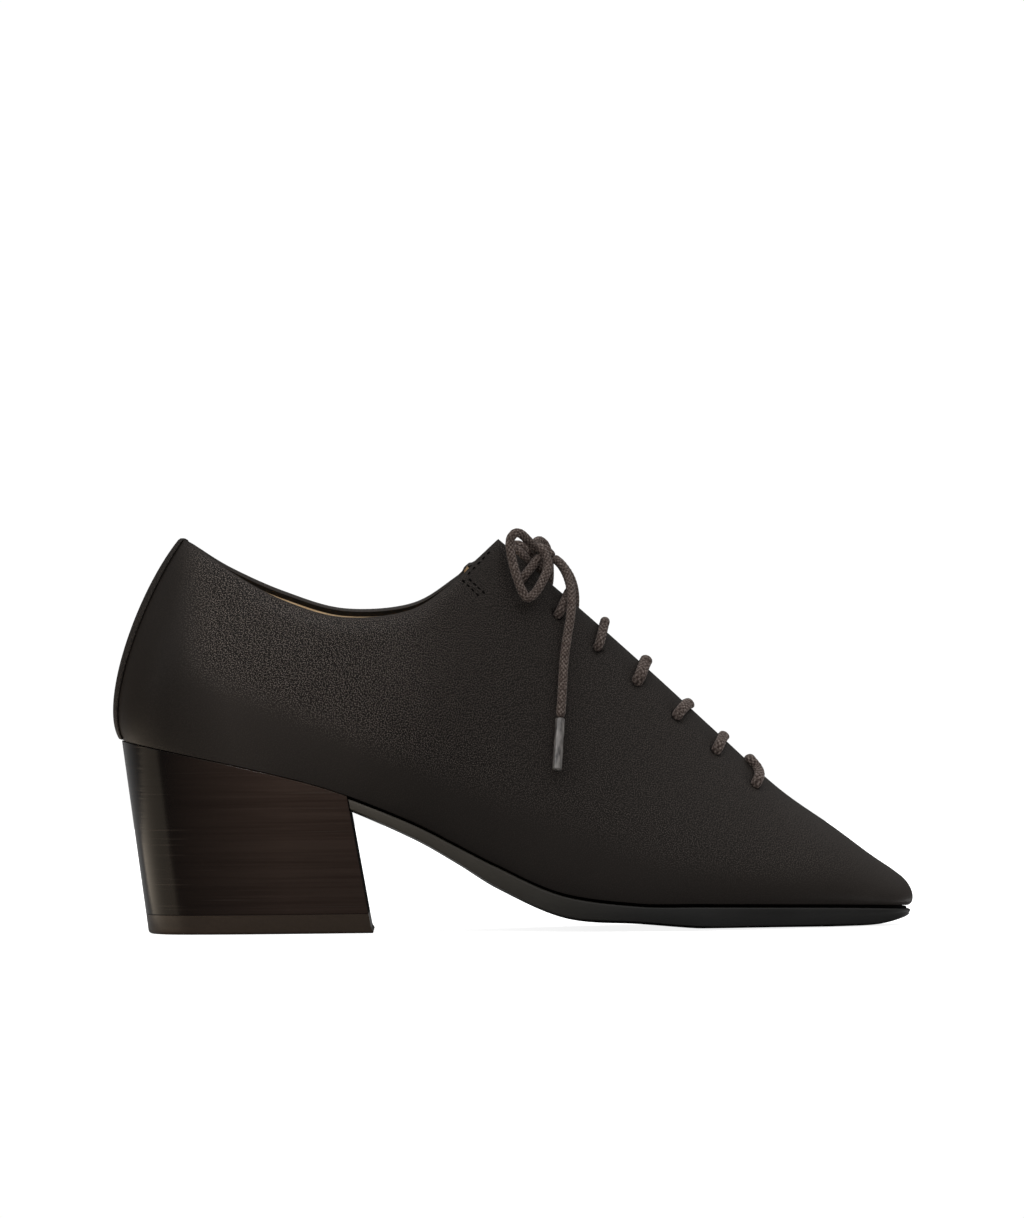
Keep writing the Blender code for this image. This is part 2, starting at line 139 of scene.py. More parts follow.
@lru_cache(maxsize=None)
def rib_points(side, u):
    """The feather line, the bulge, the crown and the top line of one rib."""
    bottom = feather(side, u)
    slit_half = column_value("top_half", u)
    if u > SLIT_FOOT:
        slit_half = max(0.0, slit_half)
    top = Vector((
        column_value("top_x", u),
        column_value("top_y", u) + side * slit_half,
        column_value("top_z", u) + side * column_value("top_tilt", u),
    ))
    rise = Vector((0.0, 0.0, column_value("bulge_up", u)))
    leave = bottom + out_from_sole(side, u) * column_value("bulge_out", u) + rise
    arrive = top + Vector((
        column_value("crown_fwd", u),
        side * column_value("crown_out", u),
        -column_value("crown_drop", u),
    ))
    if side == MEDIAL:
        top.z += PEEP_RISE * peep(top.x)
    return bottom, leave, arrive, top


def skin(side, u, v):
    """A point of the upper's outer face, from the feather line (v 0) to the top line (v 1)."""
    bottom, leave, arrive, top = rib_points(side, u)
    w = 1 - v
    return bottom * w ** 3 + leave * (3 * w * w * v) + arrive * (3 * w * v * v) + top * v ** 3


def skin_normal(side, u, v):
    """Unit direction out of the upper's outer face."""
    step = 0.004
    low, high = max(0.0, v - step), min(1.0, v + step)
    along = skin(side, u + step, v) - skin(side, u - step, v)
    up = skin(side, u, high) - skin(side, u, low)
    return (along.cross(up) * -side).normalized()


def over_skin(side, u, v, height):
    """A point a given height over the upper's outer face, or under it where negative."""
    return skin(side, u, v) + skin_normal(side, u, v) * height


def down_from_top(side, u, distance):
    """The v that lies a given distance below the top line, measured along a rib."""
    v, gone, step = 1.0, 0.0, 0.005
    last = skin(side, u, v)
    while gone < distance:
        v -= step
        here = skin(side, u, v)
        gone += (here - last).length
        last = here
    return v


def placed(point):
    """A point of the shoe, as a point of the model in metres."""
    return Vector((point[0] - LENGTH / 2, point[1] - CENTRE_Y, point[2])) * MM


# Upper. One hide of fine pebbled leather, lasted and pulled under at the feather line, with a folded
# top edge, a collar that rolls in, a slit down the front and plain punched eyelets. The tan lining is
# bonded to its inside and stops short of the folded edge.
WALL = 1.8
UPPER_COLUMNS = 16 * TIP
UPPER_ROWS = 36
EDGE_ROUNDING = 0.75
COLLAR_ROLL, COLLAR_ROLL_WIDE = 1.3, 6.0
ROLL_STARTS, ROLL_ENDS = (0.4, 1.4), (CORNER - 1.5, CORNER)
FOLDED_EDGE = 1.8
LINING_PEEP = 2.0
EYELET = 3.5
EYELET_SETBACK = 9.0
EYELET_FIRST_X = 125.6
EYELET_PITCH = 12.0
EYELET_PAIRS = 7
EYELET_SIDES = 24
EYELET_DIP = 0.45
EYELET_DIP_SPREAD = 3.0
COUNTER_TOP, COUNTER_FALL = 92.5, 0.43
GRAIN_OVER_COUNTER = (-7.0, 9.0)
GRAIN_FROM_BACK = (19.0, 34.0)
GRAIN_FROM_FEATHER = (4.0, 16.0)
GRAIN_FROM_TOP = (0.2, 1.0)
RIDGE_LOSS, RIDGE_FADE = 0.7, (2.0, 10.0)
VAMP_LOSS, VAMP_FADE = 0.6, (75.0, 140.0)
TOE_LOSS, TOE_FADE = 0.75, (205.0, 236.0)
MERGE_WITHIN = 0.005
# The light pebble dots are painted highlights: the glints of the grain's crests, painted into the hide's
# colour.
PEBBLE, PEBBLE_SPAN = 0.32, (0.46, 0.76)
PATCH_SCALE, PATCH_TONES = 0.45, (0.75, 1.15)
CLOUD_SCALE, CLOUD_TONES = 38.0, (0.125, 0.175)
# Painted shade: the calm tone is darkened toward the back, over the counter.
COUNTER_SHADE_SPAN, COUNTER_SHADE_TONES = (-0.106, -0.086), (0.42, 1.0)
GRAIN_AND_GLINT_LOSS_TONES = (0.0, 0.95)
GRAIN_STRENGTH = (0.9, 0.03)
LEATHER_GLOSS = (0.40, 0.52)
LEATHER_DARK, LEATHER_LIGHT = (0.0018, 0.0013, 0.0010), (0.170, 0.143, 0.126)
LINING_DARK, LINING_LIGHT = (0.75, 0.59, 0.39), (0.92, 0.76, 0.53)
LINING_MOTTLE, LINING_NAP, LINING_NAP_DEEP = 160.0, 2600.0, 0.0001
FOLD_SPAN = (FOLDED_EDGE - 0.1, FOLDED_EDGE + 0.15)


def smooth_step(low, high, value):
    """0 below low, 1 above high and a soft rise between them."""
    t = min(1.0, max(0.0, (value - low) / (high - low)))
    return t * t * (3 - 2 * t)


def grid(columns, rows, point, slit_end=None, notes=()):
    """A sheet of faces whose corners lie at point(along, across), its middle row open as far as slit_end.

    Each note is the name of an attribute and a function that gives it from (along, across).
    """
    bm = bmesh.new()
    bmesh.ops.create_grid(bm, x_segments=columns, y_segments=rows, size=0.5)
    if slit_end is not None:
        middles = [(face, face.calc_center_median()) for face in bm.faces]
        dropped = [face for face, at in middles if abs(at.y) < 0.25 / rows and at.x + 0.5 < slit_end]
        bmesh.ops.delete(bm, geom=dropped, context="FACES_ONLY")
    layers = [(bm.verts.layers.float.new(name), note) for name, note in notes]
    for vert in bm.verts:
        along, across = round(vert.co.x + 0.5, 6), round(vert.co.y + 0.5, 6)
        vert.co = placed(point(along, across))
        for layer, note in layers:
            vert[layer] = note(along, across)
    bmesh.ops.remove_doubles(bm, verts=bm.verts, dist=MERGE_WITHIN * MM)
    bmesh.ops.recalc_face_normals(bm, faces=bm.faces)
    return bm


def add_piece(name, bm, *finishes, sharp=40):
    """A new piece of the shoe, smooth but for edges sharper than the angle in degrees."""
    mesh = bpy.data.meshes.new(name)
    bm.to_mesh(mesh)
    bm.free()
    for made in finishes:
        mesh.materials.append(made)
    mesh.shade_smooth()
    mesh.set_sharp_from_angle(angle=radians(sharp))
    piece = bpy.data.objects.new(name, mesh)
    bpy.context.scene.collection.objects.link(piece)
    return piece


def stand_for(piece, node):
    """Puts a piece in the place of a CAD solid, which it hides, on the shoe's one body."""
    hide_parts(node)
    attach(piece, "root")


def add_wall(piece, thickness, offset, inner_finish=0):
    """Gives a sheet its thickness, inward at offset -1 and outward at offset 1."""
    wall = piece.modifiers.new("wall", "SOLIDIFY")
    wall.thickness = thickness * MM
    wall.offset = offset
    wall.use_even_offset = True
    wall.material_offset = inner_finish


def round_edges(piece, width, segments=2, angle=50):
    """Rounds the edges of a piece that are sharper than the angle in degrees."""
    rounding = piece.modifiers.new("rounding", "BEVEL")
    rounding.width = width * MM
    rounding.segments = segments
    rounding.limit_method = "ANGLE"
    rounding.angle_limit = radians(angle)


def keep_shape(piece, sharp=40):
    """Makes the shape that a piece's modifiers give it its own mesh."""
    depsgraph = bpy.context.evaluated_depsgraph_get()
    shaped = piece.evaluated_get(depsgraph)
    mesh = bpy.data.meshes.new_from_object(shaped, preserve_all_data_layers=True, depsgraph=depsgraph)
    piece.modifiers.clear()
    piece.data = mesh
    mesh.shade_smooth()
    mesh.set_sharp_from_angle(angle=radians(sharp))


def add_node(tree, kind, inputs=None, **settings):
    """A shader node with its settings, each input a value or the socket that feeds it."""
    made = tree.nodes.new("ShaderNode" + kind)
    for name, value in settings.items():
        setattr(made, name, value)
    for name, value in (inputs or {}).items():
        if isinstance(value, bpy.types.NodeSocket):
            tree.links.new(value, made.inputs[name])
        else:
            made.inputs[name].default_value = value
    return made


def add_ramp(tree, factor, *stops):
    """A colour ramp fed by a factor; each stop is a place and a colour or a grey."""
    made = add_node(tree, "ValToRGB", {"Fac": factor})
    elements = made.color_ramp.elements
    while len(elements) < len(stops):
        elements.new(1.0)
    for element, (place, colour) in zip(elements, stops):
        element.position = place
        element.color = (*colour, 1.0) if isinstance(colour, tuple) else (colour, colour, colour, 1.0)
    return made.outputs["Color"]


def add_finish(name, sockets):
    """A new finish with the values that are the same all over; returns it, its tree and its shader."""
    made = bpy.data.materials.new(name)
    made.use_nodes = True
    tree = made.node_tree
    shader = tree.nodes["Principled BSDF"]
    for socket, value in sockets.items():
        shader.inputs[socket].default_value = value
    return made, tree, shader


def feed(shader, name, socket):
    """Feeds an input of a shader from a socket."""
    shader.id_data.links.new(socket, shader.inputs[name])


def object_place(tree):
    """The place on the piece, in metres."""
    return add_node(tree, "TexCoord").outputs["Object"]


def part_of(tree, vector, axis):
    """One axis of a vector."""
    return add_node(tree, "SeparateXYZ", {"Vector": vector}).outputs[axis]


def stretched(tree, place, scale):
    """A place with each of its axes scaled."""
    return add_node(tree, "Mapping", {"Vector": place, "Scale": scale}).outputs["Vector"]


def noted(tree, name):
    """An attribute that the mesh carries."""
    return add_node(tree, "Attribute", attribute_name=name).outputs["Fac"]


def noise(tree, place, scale, detail, **settings):
    """A cloudy value for each place."""
    inputs = {"Vector": place, "Scale": scale, "Detail": detail}
    return add_node(tree, "TexNoise", inputs, **settings).outputs["Fac"]


def spread(tree, value, source=(0.0, 1.0), result=(0.0, 1.0), **settings):
    """A value that runs over the source's span, made to run over the result's."""
    inputs = {"Value": value, "From Min": source[0], "From Max": source[1]}
    inputs.update({"To Min": result[0], "To Max": result[1]})
    return add_node(tree, "MapRange", inputs, **settings).outputs["Result"]


def worked(tree, operation, *values):
    """What an operation makes of values and sockets."""
    return add_node(tree, "Math", dict(enumerate(values)), operation=operation).outputs["Value"]


def blend(tree, factor, first, second):
    """The first colour where the factor is 0 and the second where it is 1."""
    first, second = ((*side, 1.0) if isinstance(side, tuple) else side for side in (first, second))
    return add_node(tree, "MixRGB", {"Fac": factor, "Color1": first, "Color2": second}).outputs["Color"]


def add_relief(tree, shader, height, strength, deep=0.0002):
    """Fine relief too small for the mesh, deep metres from its lowest to its highest."""
    bump = add_node(tree, "Bump", {"Height": height, "Strength": strength, "Distance": deep})
    feed(shader, "Normal", bump.outputs["Normal"])


def add_lining(name):
    """A new finish of tan leather with a fine nap; returns it, its tree, its shader and its colour."""
    made, tree, shader = add_finish(name, {"Specular IOR Level": 0.3, "Roughness": 0.7})
    place = object_place(tree)
    tan = add_ramp(tree, noise(tree, place, LINING_MOTTLE, 4.0), (0.3, LINING_DARK), (0.7, LINING_LIGHT))
    feed(shader, "Base Color", tan)
    add_relief(tree, shader, noise(tree, place, LINING_NAP, 2.0), 0.25, LINING_NAP_DEEP)
    return made, tree, shader, tan


# The grain is light dots on a dark hide: painted highlights, the glints of the pebbles' crests painted into
# the colour. They fade to one calm tone where the leather was lasted smooth, and that tone is painted
# darker toward the back as shade over the counter.
upper_leather, tree, shader = add_finish("upper_leather", {"Specular IOR Level": 0.1})
place = object_place(tree)
smoothed = noted(tree, "smoothed")
hide_axes = {"X": noted(tree, "hide_along"), "Y": noted(tree, "hide_up")}
hide = add_node(tree, "CombineXYZ", hide_axes).outputs["Vector"]
# Painted highlights: light dots on the pebbles' crests stand for their glints.
pebble = noise(tree, hide, 1 / PEBBLE, 0.0, noise_dimensions="2D")
dots = spread(tree, pebble, PEBBLE_SPAN, interpolation_type="SMOOTHSTEP")
uneven = spread(tree, noise(tree, hide, PATCH_SCALE, 2.0), result=PATCH_TONES)
grain_and_painted_glints = worked(tree, "MULTIPLY", dots, uneven)
clouds = noise(tree, place, CLOUD_SCALE, 3.0)
# Painted shade: the calm tone darkens toward the heel's back, over the counter.
counter_painted_shade = spread(tree, part_of(tree, place, "X"), COUNTER_SHADE_SPAN, COUNTER_SHADE_TONES)
plain = worked(tree, "MULTIPLY", spread(tree, clouds, result=CLOUD_TONES), counter_painted_shade)
# Where the grain was lasted smooth, its painted glints give way to one calm tone.
grain_and_glint_loss = spread(tree, smoothed, result=GRAIN_AND_GLINT_LOSS_TONES)
tone = add_node(tree, "Mix", {"Factor": grain_and_glint_loss, "A": grain_and_painted_glints, "B": plain}).outputs["Result"]
feed(shader, "Base Color", add_ramp(tree, tone, (0.0, LEATHER_DARK), (1.0, LEATHER_LIGHT)))
feed(shader, "Roughness", spread(tree, clouds, result=LEATHER_GLOSS))
add_relief(tree, shader, grain_and_painted_glints, spread(tree, smoothed, result=GRAIN_STRENGTH))

collar_lining, tree, shader, tan = add_lining("collar_lining")
past_fold = spread(tree, noted(tree, "from_edge"), FOLD_SPAN)
feed(shader, "Base Color", blend(tree, past_fold, LEATHER_DARK, tan))

eyelets = []
for number in range(EYELET_PAIRS):
    u = rib_at("top_x", EYELET_FIRST_X + EYELET_PITCH * number)
    eyelets.append([(side, u, down_from_top(side, u, EYELET_SETBACK)) for side in (LATERAL, MEDIAL)])
eyelet_places = [(skin(*eyelet), skin_normal(*eyelet)) for pair in eyelets for eyelet in pair]
slit_row = 0.5 / (2 * UPPER_ROWS + 1)


def upper_place(along, across):
    """Side, u and v of a corner of the upper's sheet."""
    side = LATERAL if across < 0.5 else MEDIAL
    return side, TIP * along, (0.5 - abs(across - 0.5)) / (0.5 - slit_row)


def upper_point(along, across):
    """A corner of the upper, rolled in along the collar and drawn in a little round each eyelet."""
    side, u, v = upper_place(along, across)
    point, top = skin(side, u, v), rib_points(side, u)[3]
    near_top = max(0.0, 1 - (point - top).length / COLLAR_ROLL_WIDE)
    if near_top and u < CORNER:
        rolled = COLLAR_ROLL * smooth_step(*ROLL_STARTS, u) * (1 - smooth_step(*ROLL_ENDS, u))
        point = point - skin_normal(side, u, v) * (rolled * near_top ** 2)
    for middle, normal in eyelet_places:
        apart = (point - middle).length
        if apart < 3 * EYELET_DIP_SPREAD:
            point = point - normal * (EYELET_DIP * exp(-((apart / EYELET_DIP_SPREAD) ** 2)))
    return point


def upper_from_edge(along, across):
    """Millimetres from the top line, with the far facing's lining let up to the edge at its end."""
    side, u, v = upper_place(along, across)
    point, top = skin(side, u, v), rib_points(side, u)[3]
    let_up = LINING_PEEP * peep(top.x) if side == MEDIAL else 0.0
    return (point - top).length + let_up


def upper_smoothed(along, across):
    """How far lasting has flattened the grain: at the stiff counter, the feather line and the toe."""
    side, u, v = upper_place(along, across)
    point = skin(side, u, v)
    bottom, _, _, top = rib_points(side, u)
    over_counter = point.z - COUNTER_TOP + COUNTER_FALL * point.x
    from_top = (point - top).length
    by_ridge = smooth_step(CORNER, CORNER + 1.0, u)
    grain = (
        smooth_step(*GRAIN_OVER_COUNTER, over_counter)
        * smooth_step(*GRAIN_FROM_BACK, point.x)
        * smooth_step(*GRAIN_FROM_FEATHER, (point - bottom).length)
        * smooth_step(*GRAIN_FROM_TOP, from_top)
        * (1 - RIDGE_LOSS * by_ridge * (1 - smooth_step(*RIDGE_FADE, from_top)))
        * (1 - VAMP_LOSS * smooth_step(*VAMP_FADE, point.x))
        * (1 - TOE_LOSS * smooth_step(*TOE_FADE, point.x))
    )
    return 1 - grain


@lru_cache(maxsize=None)
def hide_run(side, column, row, upward):
    """Millimetres of leather up a rib from the feather line, or else from the back seam along one v."""
    if (row if upward else column) == 0:
        return 0.0
    before = (column, row - 1) if upward else (column - 1, row)
    here, there = (skin(side, TIP * k / UPPER_COLUMNS, j / UPPER_ROWS) for k, j in ((column, row), before))
    return hide_run(side, *before, upward) + (here - there).length


def upper_hide(along, across, upward):
    """Place of a corner on the flat hide, up it or along it."""
    side, _, v = upper_place(along, across)
    return hide_run(side, round(along * UPPER_COLUMNS), round(v * UPPER_ROWS), upward)


bm = grid(
    UPPER_COLUMNS, 2 * UPPER_ROWS + 1, upper_point, slit_end=SLIT_FOOT / TIP,
    notes=[
        ("from_edge", upper_from_edge), ("smoothed", upper_smoothed),
        ("hide_along", partial(upper_hide, upward=False)), ("hide_up", partial(upper_hide, upward=True)),
    ],
)
upper = add_piece("upper_leather_shell", bm, upper_leather, collar_lining)
add_wall(upper, WALL, -1.0, inner_finish=1)
round_edges(upper, EDGE_ROUNDING, segments=4)
bm = bmesh.new()
for middle, normal in eyelet_places:
    turn = normal.to_track_quat("Z", "Y").to_matrix().to_4x4()
    bmesh.ops.create_cone(
        bm, cap_ends=True, segments=EYELET_SIDES, depth=5 * WALL * MM,
        radius1=EYELET / 2 * MM, radius2=EYELET / 2 * MM,
        matrix=Matrix.Translation(placed(middle - normal * WALL / 2)) @ turn,
    )
punch = add_piece("eyelet_punch", bm, upper_leather)
holes = upper.modifiers.new("eyelets", "BOOLEAN")
holes.operation = "DIFFERENCE"
holes.object = punch
keep_shape(upper)
bpy.data.objects.remove(punch)
stand_for(upper, "upper")


# Back strip. A narrow strip of the same leather that covers the back seam, glued and turned over the
# top edge into the shoe.
STRIP_THICK = 0.6
STRIP_OVER = 0.06
STRIP_HALF_U = 0.4
STRIP_FOOT_V = 0.012
STRIP_TURN_IN = 4.0
STRIP_COLUMNS = 20
STRIP_ROWS = 90
STRIP_TURN_START = 0.9
STRIP_TURN_END = 0.96
STRIP_WIDE, STRIP_LONG = 12, 75
STRIP_SMOOTHED = 0.85
STRIP_ROUNDING = 0.3


def strip_point(along, across):
    """Up the back seam, round the top edge, and down inside."""
    spread = 2 * along - 1
    side, u = (LATERAL if spread < 0 else MEDIAL), STRIP_HALF_U * abs(spread)
    if across <= STRIP_TURN_START:
        head_v = down_from_top(side, u, WALL / 2)
        v = STRIP_FOOT_V + (head_v - STRIP_FOOT_V) * across / STRIP_TURN_START
        return over_skin(side, u, v, STRIP_OVER)
    normal = skin_normal(side, u, 1.0)
    top = skin(side, u, 1.0)
    up = (top - skin(side, u, 0.98)).normalized()
    middle, radius = top - (normal + up) * (WALL / 2), WALL / 2 + STRIP_OVER
    turn = pi * min(1.0, (across - STRIP_TURN_START) / (STRIP_TURN_END - STRIP_TURN_START))
    point = middle + normal * (radius * cos(turn)) + up * (radius * sin(turn))
    down = max(0.0, across - STRIP_TURN_END) / (1 - STRIP_TURN_END) * STRIP_TURN_IN
    return point - up * down


bm = grid(
    STRIP_COLUMNS, STRIP_ROWS, strip_point,
    notes=[
        ("hide_along", lambda along, across: STRIP_WIDE * along),
        ("hide_up", lambda along, across: STRIP_LONG * across),
        ("smoothed", lambda along, across: STRIP_SMOOTHED),
    ],
)
strip = add_piece("back_seam_strip", bm, upper_leather)
add_wall(strip, STRIP_THICK, 1.0)
round_edges(strip, STRIP_ROUNDING, segments=3)
stand_for(strip, "back_strip")


# Tongue. A plain tapering piece of the upper's leather, lined in tan, held under the edges of the
# slit and stitched in at its foot.
TONGUE_THICK = 1.3
TONGUE_HEAD_X = 123.0
TONGUE_FOOT_X = 209.0
TONGUE_REACH = 15.0
TONGUE_FLAT = 2.8
TONGUE_TAPER = 0.25
TONGUE_UNDER = 0.9
TONGUE_SINK = 1.6
TONGUE_COLUMNS = 60
TONGUE_ROWS = 20
TONGUE_FLAT_SHARE = 0.2
TONGUE_LONG, TONGUE_WIDE = 110, 28
TONGUE_ROUNDING = 0.4
tongue_head, tongue_foot = rib_at("top_x", TONGUE_HEAD_X), rib_at("top_x", TONGUE_FOOT_X)


def tongue_point(along, across):
    """Flat between the slit's edges and along the inside of the upper beyond them."""
    u = tongue_head + (tongue_foot - tongue_head) * along
    depth = WALL + TONGUE_UNDER + TONGUE_SINK * along ** 4
    narrowing = 1 - TONGUE_TAPER * along
    spread = 2 * across - 1
    share = max(0.0, (abs(spread) - TONGUE_FLAT_SHARE) / (1 - TONGUE_FLAT_SHARE))
    reach = (TONGUE_FLAT + (TONGUE_REACH - TONGUE_FLAT) * share) * narrowing
    side = LATERAL if spread < 0 else MEDIAL
    point = over_skin(side, u, down_from_top(side, u, reach), -depth)
    if abs(spread) >= TONGUE_FLAT_SHARE:
        return point
    other = over_skin(-side, u, down_from_top(-side, u, reach), -depth)
    return point.lerp(other, 0.5 * (1 - abs(spread) / TONGUE_FLAT_SHARE))


tongue_lining = add_lining("tongue_lining")[0]
bm = grid(
    TONGUE_COLUMNS, TONGUE_ROWS, tongue_point,
    notes=[
        ("hide_along", lambda along, across: TONGUE_LONG * along),
        ("hide_up", lambda along, across: TONGUE_WIDE * across),
    ],
)
tongue = add_piece("tongue_leather", bm, upper_leather, tongue_lining)
add_wall(tongue, TONGUE_THICK, -1.0, inner_finish=1)
round_edges(tongue, TONGUE_ROUNDING)
stand_for(tongue, "tongue")


# Insole. A board covered with a tan leather sock, cut to the last's bottom and lying on the sole and
# the heel seat, just inside the upper's wall.
INSOLE_THICK = 2.0
INSOLE_INSET = WALL + 0.75
INSOLE_ROUNDING = 0.6
INSOLE_COLUMNS = 8 * TIP
INSOLE_SPANS = 10
SOCK_SEARCH, SOCK_SEARCH_STEP = 0.3, 0.005
SOCK_GAP, SOCK_REACH = 0.15, 2.2


def loft(columns, first, last, section, notes=()):
    """A solid through closed sections, each a list of points, capped where an end stays open."""
    sections = [section(first + (last - first) * i / columns) for i in range(columns + 1)]
    corners = len(sections[0])

    def corner(along, across):
        return sections[round(along * columns)][round(across * corners) % corners]

    bm = grid(columns, corners, corner, notes=notes)
    rims = [edge for edge in bm.edges if edge.is_boundary]
    if rims:
        bmesh.ops.holes_fill(bm, edges=rims)
        bmesh.ops.recalc_face_normals(bm, faces=bm.faces)
    return bm


def board_rim(side, u):
    """The board's lower rim, set in from the feather line."""
    return feather(side, u) - out_from_sole(side, u) * INSOLE_INSET


def sock_rim(side, u):
    """The sock's upper rim, before its thickness is added, pressed out against the upper's wall."""
    out, low = out_from_sole(side, u), board_rim(side, u)
    v = 0.0
    while v < SOCK_SEARCH and skin(side, u, v).z < low.z + INSOLE_THICK:
        v += SOCK_SEARCH_STEP
    wall = over_skin(side, u, v, -WALL - SOCK_GAP)
    return low + out * min(SOCK_REACH, max(0.0, (wall - low).dot(out)))


def insole_section(u):
    """Lateral rim, across the top with its rims rounded off, medial rim, and back underneath."""
    low = [board_rim(side, u) for side in (LATERAL, MEDIAL)]
    high = [sock_rim(side, u) for side in (LATERAL, MEDIAL)]
    top, under = [], []
    for i in range(INSOLE_SPANS + 1):
        rounded = INSOLE_ROUNDING if i in (0, INSOLE_SPANS) else 0.0
        top.append(high[0].lerp(high[1], i / INSOLE_SPANS) + Vector((0.0, 0.0, INSOLE_THICK - rounded)))
        under.append(low[0].lerp(low[1], i / INSOLE_SPANS))
    return top + under[::-1]


insole = add_piece("insole_sock", loft(INSOLE_COLUMNS, 0.0, TIP, insole_section), tongue_lining, sharp=60)
stand_for(insole, "insole")


# Outsole. A thin dyed sole, close trimmed, glued on under the feather line from the heel's breast to
# the toe. Its edge is waxed and set back above into a fine crevice under the upper, whose corners are
# coloured dark as painted shade. The sole's colour is painted lighter at the waist as the reflection of
# the bright floor, and darker toward the toe as shade near the floor.
GAP = 0.3
SOLE_CROWN = 1.5
SOLE_CROWN_HALF = 32.0
SOLE_FLAT_HALF = 11.0
SOLE_FLAT_SHARE = 0.55
SOLE_OUT = 0.5
CREVICE_IN, CREVICE_TIP_IN = 1.8, 0.6
CREVICE_HIGH = 0.75
SOLE_TUCK = 0.8
SOLE_RIM = 0.5
SOLE_UNDER_WAYS = (0.04, 0.2, 0.4, 0.6, 0.8, 1.0)
SOLE_COLUMNS_A_RIB = 14
BREAST_X = 71.8
HEEL_BOTTOM_BACK = 10.0
HEEL_BOTTOM_FRONT = 79.0
FIBRE_SCALE, DYE_CLOUD_SCALE = 900.0, 45.0
# Painted light and shade: the sole's colour is lighter at the waist, a painted reflection of the bright
# floor, and darker toward the toe, painted shade near the floor.
FORE_DYE_AND_PAINTED_SHADE = (0.3, (0.0245, 0.0240, 0.0232)), (0.75, (0.0320, 0.0314, 0.0304))
WAIST_DYE_AND_PAINTED_LIGHT = (0.3, (0.0900, 0.0795, 0.0650)), (0.75, (0.1080, 0.0970, 0.0800))
FORE_SPAN = (-0.045, 0.05)
# Painted shade: the crevice's colour is nearly black, for the shade inside it.
CREVICE_PAINTED_SHADE = (0.0006, 0.0005, 0.0004)
SOLE_GLOSS = (0.26, 0.42)
sole_first = rib_at("bottom_x", BREAST_X + GAP)
sole_lean = (HEEL_BOTTOM_FRONT - BREAST_X) / column_value("bottom_z", rib_at("bottom_x", BREAST_X))


def sole_half(side, u):
    """Half of the sole's section: crevice, rim, edge, lower bevel and crowned underside."""
    rim, out = feather(side, u), out_from_sole(side, u)
    half = column_value("bottom_half", u)
    flat = min(SOLE_FLAT_HALF, SOLE_FLAT_SHARE * half)
    step = rim.z - GAP - CREVICE_HIGH
    inside = CREVICE_IN + (CREVICE_TIP_IN - CREVICE_IN) * smooth_step(TIP - 2.0, TIP, u)
    edge = column_value("sole_z", u)
    under = max(0.0, edge - SOLE_CROWN * min(1.0, half / SOLE_CROWN_HALF))
    middle = Vector((rim.x, column_value("bottom_y", u) + side * flat, 0.0))
    foot = rim + out * (SOLE_OUT - SOLE_TUCK)
    rungs = [
        (rim - out * inside, rim.z - GAP),
        (rim - out * inside, step),
        (rim + out * (SOLE_OUT - SOLE_RIM), step),
        (rim + out * (SOLE_OUT - 0.3 * SOLE_RIM), step - 0.3 * SOLE_RIM),
        (rim + out * SOLE_OUT, step - SOLE_RIM),
        (rim + out * (SOLE_OUT - 0.3 * SOLE_TUCK), step + (edge - step) * 0.6),
        (rim + out * (SOLE_OUT - 0.75 * SOLE_TUCK), step + (edge - step) * 0.9),
        (foot, edge),
    ]
    for way in SOLE_UNDER_WAYS:
        rungs.append((foot.lerp(middle, way), edge + (under - edge) * (1 - (1 - way) ** 2)))
    return [Vector((p.x + sole_lean * (rim.z - z), p.y, z)) for p, z in rungs]


def sole_section(u):
    """The whole section, from the lateral crevice round underneath to the medial one."""
    return sole_half(LATERAL, u) + sole_half(MEDIAL, u)[::-1]


dyed_sole, tree, shader = add_finish("dyed_sole", {"Specular IOR Level": 0.2})
place = object_place(tree)
clouds = noise(tree, place, DYE_CLOUD_SCALE, 3.0)
# Painted reflection and shade: the sole's colour runs from lighter at the waist to darker toward the toe.
fore = spread(tree, part_of(tree, place, "X"), FORE_SPAN, interpolation_type="SMOOTHSTEP")
dye_with_painted_light_and_shade = blend(tree, fore, add_ramp(tree, clouds, *WAIST_DYE_AND_PAINTED_LIGHT), add_ramp(tree, clouds, *FORE_DYE_AND_PAINTED_SHADE))
crevice = noted(tree, "crevice")
# Painted shade: the crevice's corners are coloured nearly black.
feed(shader, "Base Color", blend(tree, crevice, dye_with_painted_light_and_shade, CREVICE_PAINTED_SHADE))
feed(shader, "Roughness", worked(tree, "MAXIMUM", spread(tree, clouds, result=SOLE_GLOSS), crevice))
add_relief(tree, shader, noise(tree, place, FIBRE_SCALE, 3.0), 0.12)
sole_corners = len(sole_section(sole_first))


def in_crevice(along, across):
    """1 at the two corners of each crevice, which lie first and last in a section."""
    corner = round(across * sole_corners) % sole_corners
    return float(min(corner, sole_corners - 1 - corner) < 2)


sole_columns = round((TIP - sole_first) * SOLE_COLUMNS_A_RIB)
bm = loft(sole_columns, sole_first, TIP, sole_section, notes=[("crevice", in_crevice)])
sole = add_piece("outsole_leather", bm, dyed_sole, sharp=50)
stand_for(sole, "outsole")


